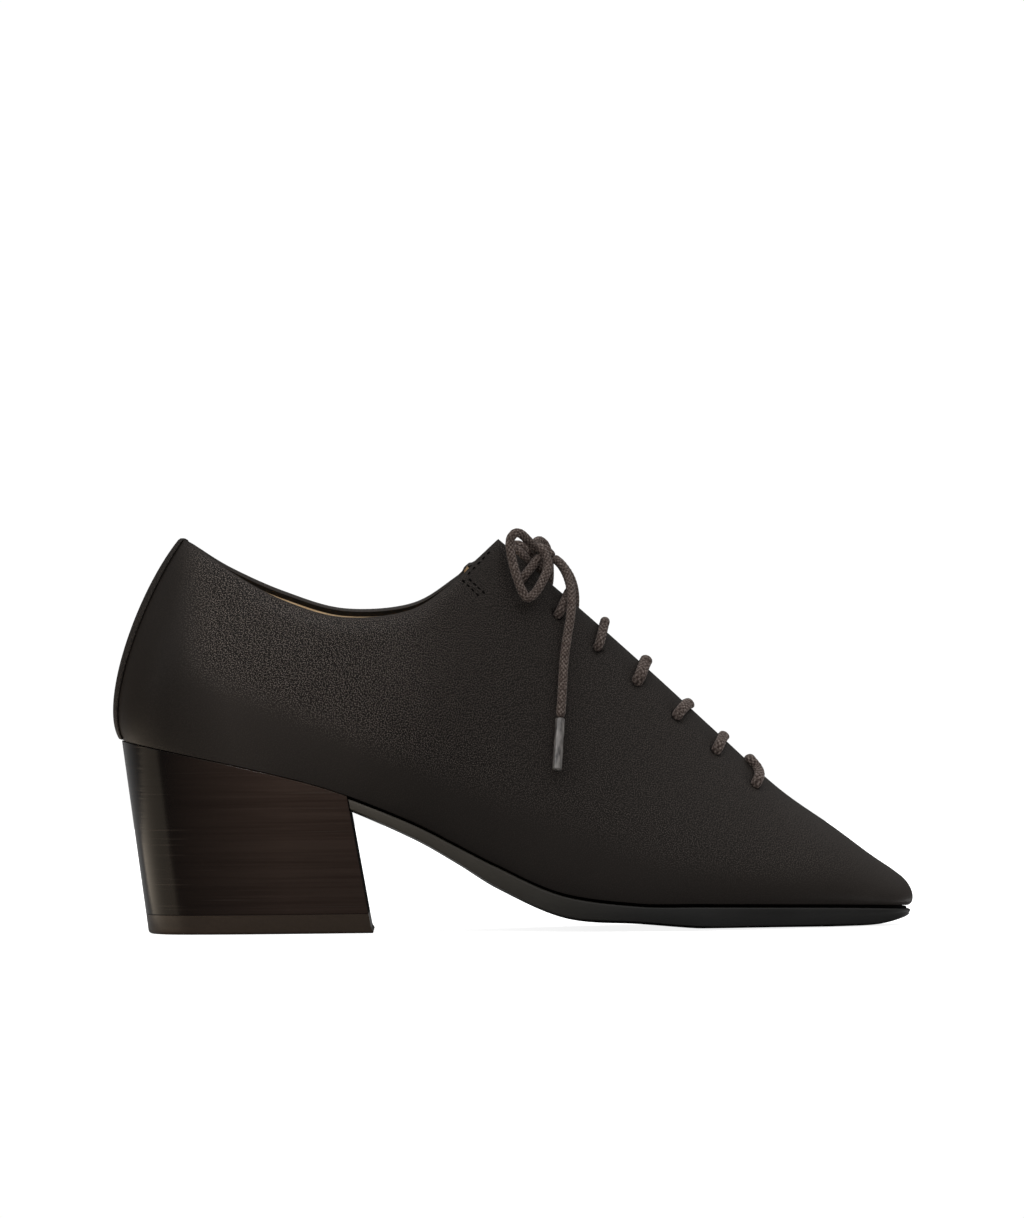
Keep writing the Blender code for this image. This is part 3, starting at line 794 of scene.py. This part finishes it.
# Heel. A block of thin stained layers, stacked, glued, sanded and waxed, under the heel seat; its
# breast faces the waist of the sole and is painted dark and matt. Its sides are painted darker toward
# the back corner, as painted shade.
HEEL_TAPER = 0.9
LIFT_THICK = 5.9
HEEL_JOINT = 0.05
HEEL_COLUMNS = 150
HEEL_ROWS = 24
BREAST_SHARE = 0.2
HEEL_ROUNDING = 0.2
STREAK_SCALE, LAYER_SCALE, SEAM_SCALE = (30.0, 30.0, 1300.0), (4.0, 4.0, 300.0), (26.0, 26.0, 1400.0)
STREAK_SHARE = 0.7
STAIN = (0.6, (0.0300, 0.0175, 0.0127)), (1.0, (0.0482, 0.0310, 0.0238))
# Painted shade: the stain darkens to near black toward the heel's back corner.
HEEL_BACK_PAINTED_SHADE, HEEL_BACK_SHADE_SPAN = (0.0030, 0.0016, 0.0010), (-0.108, -0.070)
SEAM_PALE, SEAM_SPAN, SEAM_TONES = (0.075, 0.060, 0.050), (0.68, 0.8), (0.0, 0.35)
BREAST_PAINT, BREAST_SPAN, BREAST_MATT = (0.0120, 0.0085, 0.0070), (0.5, 0.8), 0.95
HEEL_GLOSS = (0.13, 0.2)
heel_last = rib_at("bottom_x", BREAST_X)


def heel_outline(side, u, z):
    """A point of the heel's side at height z, on the straight line from the seat to the floor."""
    seat = feather(side, u) - Vector((0.0, 0.0, GAP))
    share = (HEEL_BOTTOM_FRONT - HEEL_BOTTOM_BACK) / (BREAST_X - RIBS[0][0])
    foot = Vector((HEEL_BOTTOM_BACK + (seat.x - RIBS[0][0]) * share, seat.y * HEEL_TAPER, 0.0))
    return foot.lerp(seat, min(z / seat.z, 1.0))


def heel_round(turn, z):
    """Once round the heel: from the breast's lateral corner past the back, then across the breast."""
    way = turn % 1.0
    if way < 1 - BREAST_SHARE:
        spread = 2 * way / (1 - BREAST_SHARE) - 1
        return heel_outline(LATERAL if spread < 0 else MEDIAL, heel_last * abs(spread), z)
    way = (way - (1 - BREAST_SHARE)) / BREAST_SHARE
    return heel_outline(MEDIAL, heel_last, z).lerp(heel_outline(LATERAL, heel_last, z), way)


def close_ends(bm):
    """Closes the open rims of a wall that runs all the way round."""
    bmesh.ops.holes_fill(bm, edges=[edge for edge in bm.edges if edge.is_boundary])
    bmesh.ops.recalc_face_normals(bm, faces=bm.faces)
    return bm


def heel_point(along, across):
    """A corner of the heel block, from the top lift up to the seat."""
    low = heel_round(along, LIFT_THICK + HEEL_JOINT)
    high = heel_round(along, LENGTH)
    return low.lerp(high, across)


stacked_heel, tree, shader = add_finish("stacked_heel", {"Specular IOR Level": 0.12})
place = object_place(tree)
streaks = noise(tree, stretched(tree, place, STREAK_SCALE), 1.0, 4.0)
layers = noise(tree, stretched(tree, place, LAYER_SCALE), 1.0, 1.0)
seams = noise(tree, stretched(tree, place, SEAM_SCALE), 1.0, 1.0)
stain = add_ramp(tree, worked(tree, "MULTIPLY_ADD", streaks, STREAK_SHARE, layers), *STAIN)
# Painted shade: the heel's sides turn near black toward the back corner.
stain_with_painted_shade = blend(tree, spread(tree, part_of(tree, place, "X"), HEEL_BACK_SHADE_SPAN), HEEL_BACK_PAINTED_SHADE, stain)
layered = blend(tree, spread(tree, seams, SEAM_SPAN, SEAM_TONES), stain_with_painted_shade, SEAM_PALE)
facing = add_node(tree, "TexCoord").outputs["Normal"]
breast = spread(tree, part_of(tree, facing, "X"), BREAST_SPAN)
feed(shader, "Base Color", blend(tree, breast, layered, BREAST_PAINT))
matt = worked(tree, "MULTIPLY", breast, BREAST_MATT)
feed(shader, "Roughness", worked(tree, "MAXIMUM", spread(tree, streaks, result=HEEL_GLOSS), matt))
add_relief(tree, shader, streaks, 0.16)
heel = add_piece("heel_stack", close_ends(grid(HEEL_COLUMNS, HEEL_ROWS, heel_point)), stacked_heel)
round_edges(heel, HEEL_ROUNDING, segments=3, angle=40)
stand_for(heel, "heel")


# Top lift. The hard rubber wearing piece under the heel, trimmed flush with the stack, darkened at the
# back, rounded off at its lower edge and with a small lip in front.
LIFT_ROUNDING = 0.9
LIFT_LIP, LIFT_LIP_HIGH = 0.9, 2.0
LIFT_ROWS = 24
SPECKLE_SCALE = 700.0
RUBBER = (0.3, (0.0610, 0.0432, 0.0313)), (0.7, (0.0675, 0.0480, 0.0350))
RUBBER_DARK, RUBBER_SPAN = (0.0200, 0.0160, 0.0135), (-0.114, -0.092)
LIFT_GLOSS = (0.26, 0.32)


def lift_point(along, across):
    """A corner of the lift's wall, drawn in along an arc at the lower edge."""
    z = LIFT_THICK * across
    point = heel_round(along, z)
    if along >= 1 - BREAST_SHARE or along == 0:
        point.x += LIFT_LIP * max(0.0, 1 - z / LIFT_LIP_HIGH) ** 2
    if z >= LIFT_ROUNDING:
        return point
    middle = Vector(((HEEL_BOTTOM_BACK + HEEL_BOTTOM_FRONT) / 2, column_value("bottom_y", 2.0), z))
    inward = LIFT_ROUNDING - sqrt(LIFT_ROUNDING ** 2 - (LIFT_ROUNDING - z) ** 2)
    return point + (middle - point).normalized() * inward


heel_lift, tree, shader = add_finish("heel_lift", {"Specular IOR Level": 0.15})
place = object_place(tree)
speckle = noise(tree, place, SPECKLE_SCALE, 4.0)
rubber = add_ramp(tree, speckle, *RUBBER)
from_back = spread(tree, part_of(tree, place, "X"), RUBBER_SPAN)
feed(shader, "Base Color", blend(tree, from_back, RUBBER_DARK, rubber))
feed(shader, "Roughness", spread(tree, speckle, result=LIFT_GLOSS))
add_relief(tree, shader, speckle, 0.03)
lift = add_piece("heel_top_lift", close_ends(grid(HEEL_COLUMNS, LIFT_ROWS, lift_point)), heel_lift)
stand_for(lift, "top_lift")


# Lace crossings. One round braided cord goes through the punched eyelets; each of its crossings comes
# out of a hole, over the slit's two edges and into the hole on the other side, pressed flat on the way.
LACE = 2.9
BRAID_SIDES = 40
BRAID_STEP = 0.22
BRAID_RELIEF = 0.12
BRAID_STRANDS = 7
BRAID_PITCH = 1.5
CROSSING_COLUMNS = ("wide", "flat", "lead", "hook", "lift")
CROSSINGS = (
    (2.9, 1.0, 4.9, 0.0, 3.0),
    (3.0, 0.95, 2.2, 0.0, 0.6),
    (3.0, 0.95, 1.0, 0.0, 0.8),
    (3.8, 0.75, 1.6, 0.0, 0.3),
    (3.5, 0.62, 3.0, 0.0, -0.3),
    (3.4, 0.62, 1.6, 0.0, -0.3),
    (3.3, 0.7, 0.8, -3.4, -0.3),
)
CROSSING_RISE = (
    (0.0, -1.4), (0.01, -0.4), (0.03, 0.4), (0.15, 0.95), (0.45, 1.05), (0.8, 1.05), (1.0, 1.1),
)
HOOK_START = 0.55
ROUTE_PARTS = 24
YARN_SCALE, YARN_SHARE = 1900.0, 0.2
YARNS = (0.25, (0.033, 0.0220, 0.0182)), (0.5, (0.092, 0.066, 0.055)), (0.75, (0.275, 0.222, 0.195))
FUZZ_SCALE, FUZZ_DEEP = 5200.0, 0.00012


def smooth_route(points, step):
    """Points at even steps of a smooth curve through the points of a route."""
    route = [Vector(p) for p in points]
    route = [route[0] * 2 - route[1]] + route + [route[-1] * 2 - route[-2]]
    fine = []
    for k in range(len(points) - 1):
        a, b, c, d = route[k:k + 4]
        for i in range(ROUTE_PARTS):
            t = i / ROUTE_PARTS
            fine.append(
                b
                + (c - a) * (t / 2)
                + (a * 2 - b * 5 + c * 4 - d) * (t * t / 2)
                + (b * 3 - a - c * 3 + d) * (t ** 3 / 2)
            )
    fine.append(route[-2])
    gone = [0.0]
    for one, two in zip(fine, fine[1:]):
        gone.append(gone[-1] + (two - one).length)
    count = max(2, round(gone[-1] / step))
    result, k = [], 0
    for i in range(count + 1):
        target = gone[-1] * i / count
        while k < len(fine) - 2 and gone[k + 1] < target:
            k += 1
        span = gone[k + 1] - gone[k]
        result.append(fine[k].lerp(fine[k + 1], (target - gone[k]) / span if span else 0.0))
    return result


def braid(points, diameter, relief=BRAID_RELIEF, core=None, flat=1.0, end_round=None):
    """A braided cord with rounded ends along even points, pressed flat toward its core where it has one."""
    heads = [(b - a).normalized() for a, b in zip(points, points[1:])]
    heads = [heads[0]] + [(a + b).normalized() for a, b in zip(heads, heads[1:])] + [heads[-1]]
    across = heads[0].orthogonal().normalized()
    rings, gone = [], 0.0
    for i, (point, head) in enumerate(zip(points, heads)):
        across = (across - head * across.dot(head)).normalized()
        rings.append((point, across, head.cross(across), gone))
        if i + 1 < len(points):
            gone += (points[i + 1] - point).length
    long, radius = gone, diameter / 2
    count = len(points) - 1

    def strand(along, around):
        at = 2 * pi * rings[round(along * count)][3] / BRAID_PITCH
        return sin(BRAID_STRANDS * 2 * pi * around) * cos(at)

    def corner(along, around):
        point, side, up, at = rings[round(along * count)]
        end, bend = min(at, long - at), end_round or radius
        shut = sqrt(max(0.0, 1 - (1 - end / bend) ** 2)) if end < bend else 1.0
        reach = (radius - relief * (0.5 - 0.5 * strand(along, around))) * shut
        turn = 2 * pi * around
        away = side * (reach * cos(turn)) + up * (reach * sin(turn))
        if core is not None:
            outward = (point - core).normalized()
            away = away - outward * (away.dot(outward) * (1 - flat))
        return point + away

    return grid(count, BRAID_SIDES, corner, notes=[("strand", strand)])


lace_cord, tree, shader = add_finish(
    "lace_cord", {"Specular IOR Level": 0.25, "Roughness": 0.8, "Sheen Weight": 0.12, "Sheen Roughness": 0.4}
)
place = object_place(tree)
yarn = noise(tree, place, YARN_SCALE, 3.0)
tone = worked(tree, "MULTIPLY_ADD", noted(tree, "strand"), YARN_SHARE, yarn)
feed(shader, "Base Color", add_ramp(tree, tone, *YARNS))
add_relief(tree, shader, noise(tree, place, FUZZ_SCALE, 2.0), 0.4, FUZZ_DEEP)

for number, (row, pair) in enumerate(zip(CROSSINGS, eyelets)):
    size = dict(zip(CROSSING_COLUMNS, row))
    halves = []
    for side, _, v in pair:
        half = []
        for way, high in CROSSING_RISE:
            hooked = size["hook"] * max(0.0, (way - HOOK_START) / (1 - HOOK_START)) ** 2
            u = rib_at("top_x", EYELET_FIRST_X + EYELET_PITCH * number + size["lead"] * way + hooked)
            point = over_skin(side, u, v + (1 - v) * way, high * size["flat"] * size["wide"] / 2)
            half.append(point + Vector((0.0, 0.0, size["lift"] * way ** 2)))
        halves.append(half)
    route = smooth_route(halves[0] + halves[1][::-1], BRAID_STEP)
    core = (skin(*pair[0]) + skin(*pair[1])) / 2
    cord = braid(route, size["wide"], core=core, flat=size["flat"])
    crossing = add_piece(f"lace_crossing_{number + 1}", cord, lace_cord)
    stand_for(crossing, f"lace_bar_{number + 1}")


# Bow. The two ends of the lace are tied over the top crossing: a knot, a loop to each side that lies
# on the leather, and two free ends that hang to their clear tips.
KNOT = (131.2, 0.0, 115.8)
KNOT_WIDE, KNOT_HIGH, KNOT_PITCH = 2.3, 1.7, 1.1
KNOT_FROM, KNOT_TURN, KNOT_STEPS = 0.1, 2.3, 14
LOOPS = {
    "lateral": (
        (131.4, -4.6, 116.2), (128.6, -7.6, 119.2), (126.2, -9.8, 121.6), (124.3, -11.0, 122.0),
        (122.8, -12.0, 120.2), (122.7, -13.0, 117.0), (123.5, -14.6, 112.6), (124.8, -16.4, 108.0),
        (126.2, -17.4, 104.2), (127.9, -17.4, 102.2), (130.4, -15.6, 103.9), (133.0, -12.8, 108.2),
        (134.3, -10.4, 111.6), (133.7, -8.6, 114.6), (132.0, -7.2, 116.9), (130.4, -4.8, 117.4),
    ),
    "medial": (
        (130.0, 4.6, 117.0), (130.6, 7.2, 119.0), (132.0, 9.6, 119.4), (133.6, 11.4, 117.8),
        (134.4, 12.6, 114.6), (134.7, 13.4, 110.0), (134.4, 13.9, 106.2), (133.4, 14.2, 104.2),
        (131.6, 14.4, 103.3), (129.8, 14.5, 104.2), (128.9, 14.5, 106.2), (129.0, 13.8, 109.6),
        (130.4, 10.8, 113.2), (131.6, 7.6, 114.9), (132.2, 5.2, 115.2),
    ),
}
ENDS = {
    "lateral": (
        (135.8, -2.0, 114.4), (138.4, -4.2, 111.9), (140.4, -7.2, 107.8), (141.3, -11.0, 102.8),
        (141.0, -14.3, 96.7), (139.8, -17.2, 89.8), (138.8, -19.9, 82.8), (138.3, -22.7, 76.5),
        (137.9, -25.2, 70.5), (137.4, -27.0, 65.4),
    ),
    "medial": (
        (135.8, 2.0, 114.4), (138.6, 4.2, 111.9), (141.2, 7.2, 107.8), (142.4, 11.0, 102.8),
        (142.1, 14.1, 96.7), (140.6, 16.5, 89.8), (139.2, 18.6, 82.8), (138.5, 20.8, 76.5),
        (137.9, 22.8, 70.5), (137.4, 24.1, 65.4),
    ),
}
TIPS = {
    "lateral": ((137.4, -27.0, 65.4), (136.2, -32.3, 49.4)),
    "medial": ((137.4, 24.1, 65.4), (136.2, 28.1, 49.4)),
}
KNOT_STRANDS = (
    ((131.6, -5.2, 116.0), (131.4, -2.4, 116.6), (131.4, 0.6, 115.5), (131.8, 3.2, 114.8),
     (132.4, 5.8, 114.9)),
    ((129.8, 5.2, 117.0), (130.6, 2.6, 117.0), (131.2, -0.6, 115.6), (130.6, -2.8, 116.8),
     (130.2, -5.2, 117.5)),
    ((122.6, 1.6, 117.4), (125.0, -0.2, 116.6), (127.0, -1.8, 114.6), (128.8, -2.4, 112.8),
     (130.6, -1.0, 113.2)),
    ((123.4, 3.6, 118.3), (125.6, 2.2, 118.2), (127.6, 1.2, 116.9), (129.4, 0.8, 115.4),
     (131.0, 0.6, 114.6)),
    ((130.2, 1.2, 116.0), (130.1, 1.4, 113.6), (130.5, 1.4, 111.0), (132.4, 0.8, 107.6)),
    ((130.6, -0.6, 116.0), (131.2, -1.2, 113.6), (132.2, -1.2, 111.0), (133.3, -0.6, 107.6)),
    ((132.4, -0.4, 117.6), (134.2, -1.4, 116.2), (136.0, -2.2, 114.2)),
    ((132.4, 0.4, 117.6), (134.2, 1.4, 116.2), (136.0, 2.2, 114.2)),
)
TIP_DIAMETER, TIP_RELIEF, TIP_END_ROUND = 3.0, 0.03, 0.5
FILM_STRETCH, FILM_SCALE = (1.0, 1.0, 0.06), 900.0
# Painted highlights: the clear tips' light streaks along their length stand for glints on the plastic; the
# dark ones are the lace seen through it.
FILM_AND_PAINTED_STREAKS = (0.32, (0.040, 0.035, 0.033)), (0.66, (0.290, 0.268, 0.252))
FILM_GLOSS = (0.22, 0.42)

band = []
for i in range(KNOT_STEPS + 1):
    half_turns = KNOT_FROM + KNOT_TURN * i / KNOT_STEPS
    band.append((
        KNOT[0] + KNOT_WIDE * cos(pi * half_turns),
        KNOT[1] + KNOT_PITCH * (half_turns - KNOT_FROM - KNOT_TURN / 2),
        KNOT[2] + KNOT_HIGH * sin(pi * half_turns),
    ))
bm = bmesh.new()
for wrap in (band, *KNOT_STRANDS):
    turn = braid(smooth_route(wrap, BRAID_STEP), LACE)
    mesh = bpy.data.meshes.new("knot_turn")
    turn.to_mesh(mesh)
    turn.free()
    bm.from_mesh(mesh)
    bpy.data.meshes.remove(mesh)
knot = add_piece("bow_knot", bm, lace_cord)
stand_for(knot, "lace_knot")

clear_tip, tree, shader = add_finish(
    "clear_tip", {"Specular IOR Level": 0.5, "Coat Weight": 1.0, "Coat Roughness": 0.12}
)
# Painted highlights: light streaks run along the clear tips, with dark ones for the lace inside.
film_and_painted_streaks = noise(tree, stretched(tree, object_place(tree), FILM_STRETCH), FILM_SCALE, 2.0)
feed(shader, "Base Color", add_ramp(tree, film_and_painted_streaks, *FILM_AND_PAINTED_STREAKS))
feed(shader, "Roughness", spread(tree, film_and_painted_streaks, result=FILM_GLOSS))


for side_name in ("lateral", "medial"):
    route = smooth_route(LOOPS[side_name], BRAID_STEP)
    loop = add_piece(f"bow_loop_{side_name}", braid(route, LACE), lace_cord)
    stand_for(loop, f"lace_loop_{side_name}")

    route = smooth_route(TIPS[side_name], BRAID_STEP)
    sleeve = braid(route, TIP_DIAMETER, relief=TIP_RELIEF, end_round=TIP_END_ROUND)
    tip = add_piece(f"lace_tip_{side_name}", sleeve, clear_tip)
    stand_for(tip, f"aglet_{side_name}")

    route = smooth_route(ENDS[side_name], BRAID_STEP)
    end = add_piece(f"lace_free_end_{side_name}", braid(route, LACE), lace_cord)
    stand_for(end, f"lace_end_{side_name}")


# Facing stitches. Dark thread stitches along the folded edge at the top of the facing, and two short
# rows below them that hold its end down; both sides of the shoe have them.
STITCH_LONG, STITCH_WIDE, STITCH_HIGH = 1.38, 0.56, 0.3
STITCH_PITCH = 1.95
STITCH_ENDS = (0.15, 0.85)
STITCH_ROWS = (
    ((116.7, 116.8), (109.2, 109.2)),
    ((109.6, 108.4), (115.0, 103.4)),
    ((107.5, 108.2), (113.2, 102.6)),
)


def seen_at(side, x, z):
    """The u and v of the skin's point that shows at x and z from the side."""
    u, v, step = rib_at("top_x", x), 0.8, 0.01
    for _ in range(12):
        here = skin(side, u, v)
        along = (skin(side, u + step, v) - here) / step
        up = (skin(side, u, v + step) - here) / step
        off_x, off_z = x - here.x, z - here.z
        area = along.x * up.z - along.z * up.x
        u += (off_x * up.z - off_z * up.x) / area
        v += (along.x * off_z - along.z * off_x) / area
    return u, v


thread_look = {"Base Color": (0.0022, 0.0016, 0.0014, 1.0), "Roughness": 0.8, "Specular IOR Level": 0.05}
stitch_thread = add_finish("stitch_thread", thread_look)[0]
bm = bmesh.new()
for start, end in STITCH_ROWS:
    start, end = Vector(start), Vector(end)
    count = round((end - start).length / STITCH_PITCH)
    for k in range(count):
        for side in (LATERAL, MEDIAL):
            head, tail = (
                skin(side, *seen_at(LATERAL, *start.lerp(end, (k + way) / count))) for way in STITCH_ENDS
            )
            u, v = seen_at(LATERAL, *start.lerp(end, (k + 0.5) / count))
            along, out = (tail - head).normalized(), skin_normal(side, u, v)
            axes = Matrix((along, out.cross(along), out)).transposed()
            size = Matrix.Diagonal(Vector((STITCH_LONG, STITCH_WIDE, STITCH_HIGH)) / 2 * MM)
            place = Matrix.Translation(placed((head + tail) / 2)) @ (axes @ size).to_4x4()
            bmesh.ops.create_uvsphere(bm, u_segments=10, v_segments=6, radius=1.0, matrix=place)
stitches = add_piece("facing_stitches", bm, stitch_thread)
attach(stitches, "root")


# Floor. A pale matt sheet that stays white in the picture but throws little light back on the shoe.
FLOOR_HALF = 1.2
FLOOR_BELOW = 0.0001
FLOOR_SEEN, FLOOR_BOUNCE, FLOOR_GLOW = 0.9, 0.42, 0.88
floor_look = {"Roughness": 0.9, "Specular IOR Level": 0.0, "Emission Color": (1.0, 1.0, 1.0, 1.0)}
floor_paper, tree, shader = add_finish("floor_paper", floor_look)
seen = add_node(tree, "LightPath").outputs["Is Camera Ray"]
feed(shader, "Base Color", spread(tree, seen, result=(FLOOR_BOUNCE, FLOOR_SEEN)))
feed(shader, "Emission Strength", spread(tree, seen, result=(0.0, FLOOR_GLOW)))
bm = bmesh.new()
bmesh.ops.create_grid(bm, x_segments=1, y_segments=1, size=FLOOR_HALF)
bmesh.ops.translate(bm, verts=bm.verts, vec=(0.0, 0.0, -FLOOR_BELOW))
floor = add_piece("floor", bm, floor_paper)


# Studio. A white backdrop all round, a room that lights the shoe from above and is dim at eye level, and
# soft boxes: a key on the left, a fill in front, a rim behind and two small ones by the toe. A warm card
# on the floor draws the band down the heel's corner, and a narrow spot lifts the grain of the quarter.
BACKDROP = (1.02, 1.02, 1.02, 1.0)
ROOM = (0.0, 0.06), (0.35, 0.10), (0.75, 0.75), (1.0, 1.0)
BOX_COLUMNS = ("name", "power", "place", "target", "wide", "high")
BOXES = (
    ("key_box", 2.6, (-1.5, -0.95, 1.0), (-0.05, 0.0, 0.07), 0.8, 0.8),
    ("front_fill", 2.8, (0.3, -2.6, 0.4), (0.0, 0.0, 0.06), 2.4, 1.2),
    ("rim_box", 1.2, (-0.3, 1.0, 1.2), (0.0, 0.0, 0.08), 1.4, 0.5),
    ("toe_box", 0.3, (1.3, 0.3, 0.16), (0.1, 0.0, 0.03), 0.7, 0.3),
    ("toe_card", 0.1, (0.185, -0.01, 0.003), (0.185, -0.01, 1.0), 0.09, 0.09),
)
CARD_POWER, CARD_COLOUR = 1.8, (1.0, 0.85, 0.66)
CARD_WIDE, CARD_LONG = 0.26, 0.5
CARD_CORNER, CARD_TURN = Vector((-0.105, -0.022, 0.003)), radians(51)
CARD_LEFT, CARD_AWAY = 0.13, 0.255
world = bpy.data.worlds.new("studio")
bpy.context.scene.world = world
world.use_nodes = True
tree = world.node_tree
backdrop = tree.nodes["Background"]
backdrop.inputs["Color"].default_value = BACKDROP
upward = part_of(tree, add_node(tree, "TexCoord").outputs["Generated"], "Z")
room = add_node(tree, "Background", {"Color": add_ramp(tree, upward, *ROOM)})
seen = add_node(tree, "LightPath").outputs["Is Camera Ray"]
shown = {0: seen, 1: room.outputs["Background"], 2: backdrop.outputs["Background"]}
both = add_node(tree, "MixShader", shown)
tree.links.new(both.outputs["Shader"], tree.nodes["World Output"].inputs["Surface"])

bpy.context.scene.view_settings.view_transform = "Standard"


def add_light(name, kind, power, place, target, **settings):
    """A new light of the studio, pointed at a target."""
    lamp = bpy.data.lights.new(name, kind)
    lamp.energy = power
    for setting, value in settings.items():
        setattr(lamp, setting, value)
    made = bpy.data.objects.new(name, lamp)
    made.location = place
    made.rotation_euler = (Vector(target) - Vector(place)).to_track_quat("-Z", "Y").to_euler()
    bpy.context.scene.collection.objects.link(made)
    return made


add_light("overhead", "SUN", 0.4, (0.0, -0.7, 2.0), (0.0, 0.0, 0.0), angle=radians(90))
for row in BOXES:
    box = dict(zip(BOX_COLUMNS, row))
    add_light(
        box["name"], "AREA", box["power"], box["place"], box["target"],
        shape="RECTANGLE", size=box["wide"], size_y=box["high"],
    )
add_light(
    "quarter_spot", "SPOT", 18.0, (0.0, -0.8, 0.75), (-0.072, -0.02, 0.097),
    spot_size=radians(7.5), spot_blend=1.0, shadow_soft_size=0.015,
)
card = add_light(
    "heel_card", "AREA", CARD_POWER, CARD_CORNER, CARD_CORNER - Vector((0.0, 0.0, 1.0)),
    color=CARD_COLOUR, shape="RECTANGLE", size=CARD_WIDE, size_y=CARD_LONG,
)
away = Vector((-sin(CARD_TURN), -cos(CARD_TURN), 0.0))
left = Vector((-cos(CARD_TURN), sin(CARD_TURN), 0.0))
axes = Matrix((left, away, left.cross(away))).transposed()
card.matrix_world = Matrix.Translation(CARD_CORNER + left * CARD_LEFT + away * CARD_AWAY) @ axes.to_4x4()


# Camera. Level with the shoe, far away with a long lens, and rolled a little as the picture is.
CAMERA_PLACE = Vector((0.0, -4.0, 0.140))
CAMERA_TARGET = Vector((0.0, 0.0, 0.0986))
CAMERA_ROLL = 0.65
CAMERA_LENS = 383.9
eye = bpy.data.cameras.new("camera")
eye.lens = CAMERA_LENS
eye.sensor_width = 36.0
eye.clip_start = 0.1
eye.clip_end = 200.0
camera = bpy.data.objects.new("camera", eye)
aim = (CAMERA_TARGET - CAMERA_PLACE).to_track_quat("-Z", "Y").to_matrix().to_4x4()
camera.matrix_world = Matrix.Translation(CAMERA_PLACE) @ aim @ Matrix.Rotation(radians(-CAMERA_ROLL), 4, "Z")
bpy.context.scene.collection.objects.link(camera)
bpy.context.scene.camera = camera
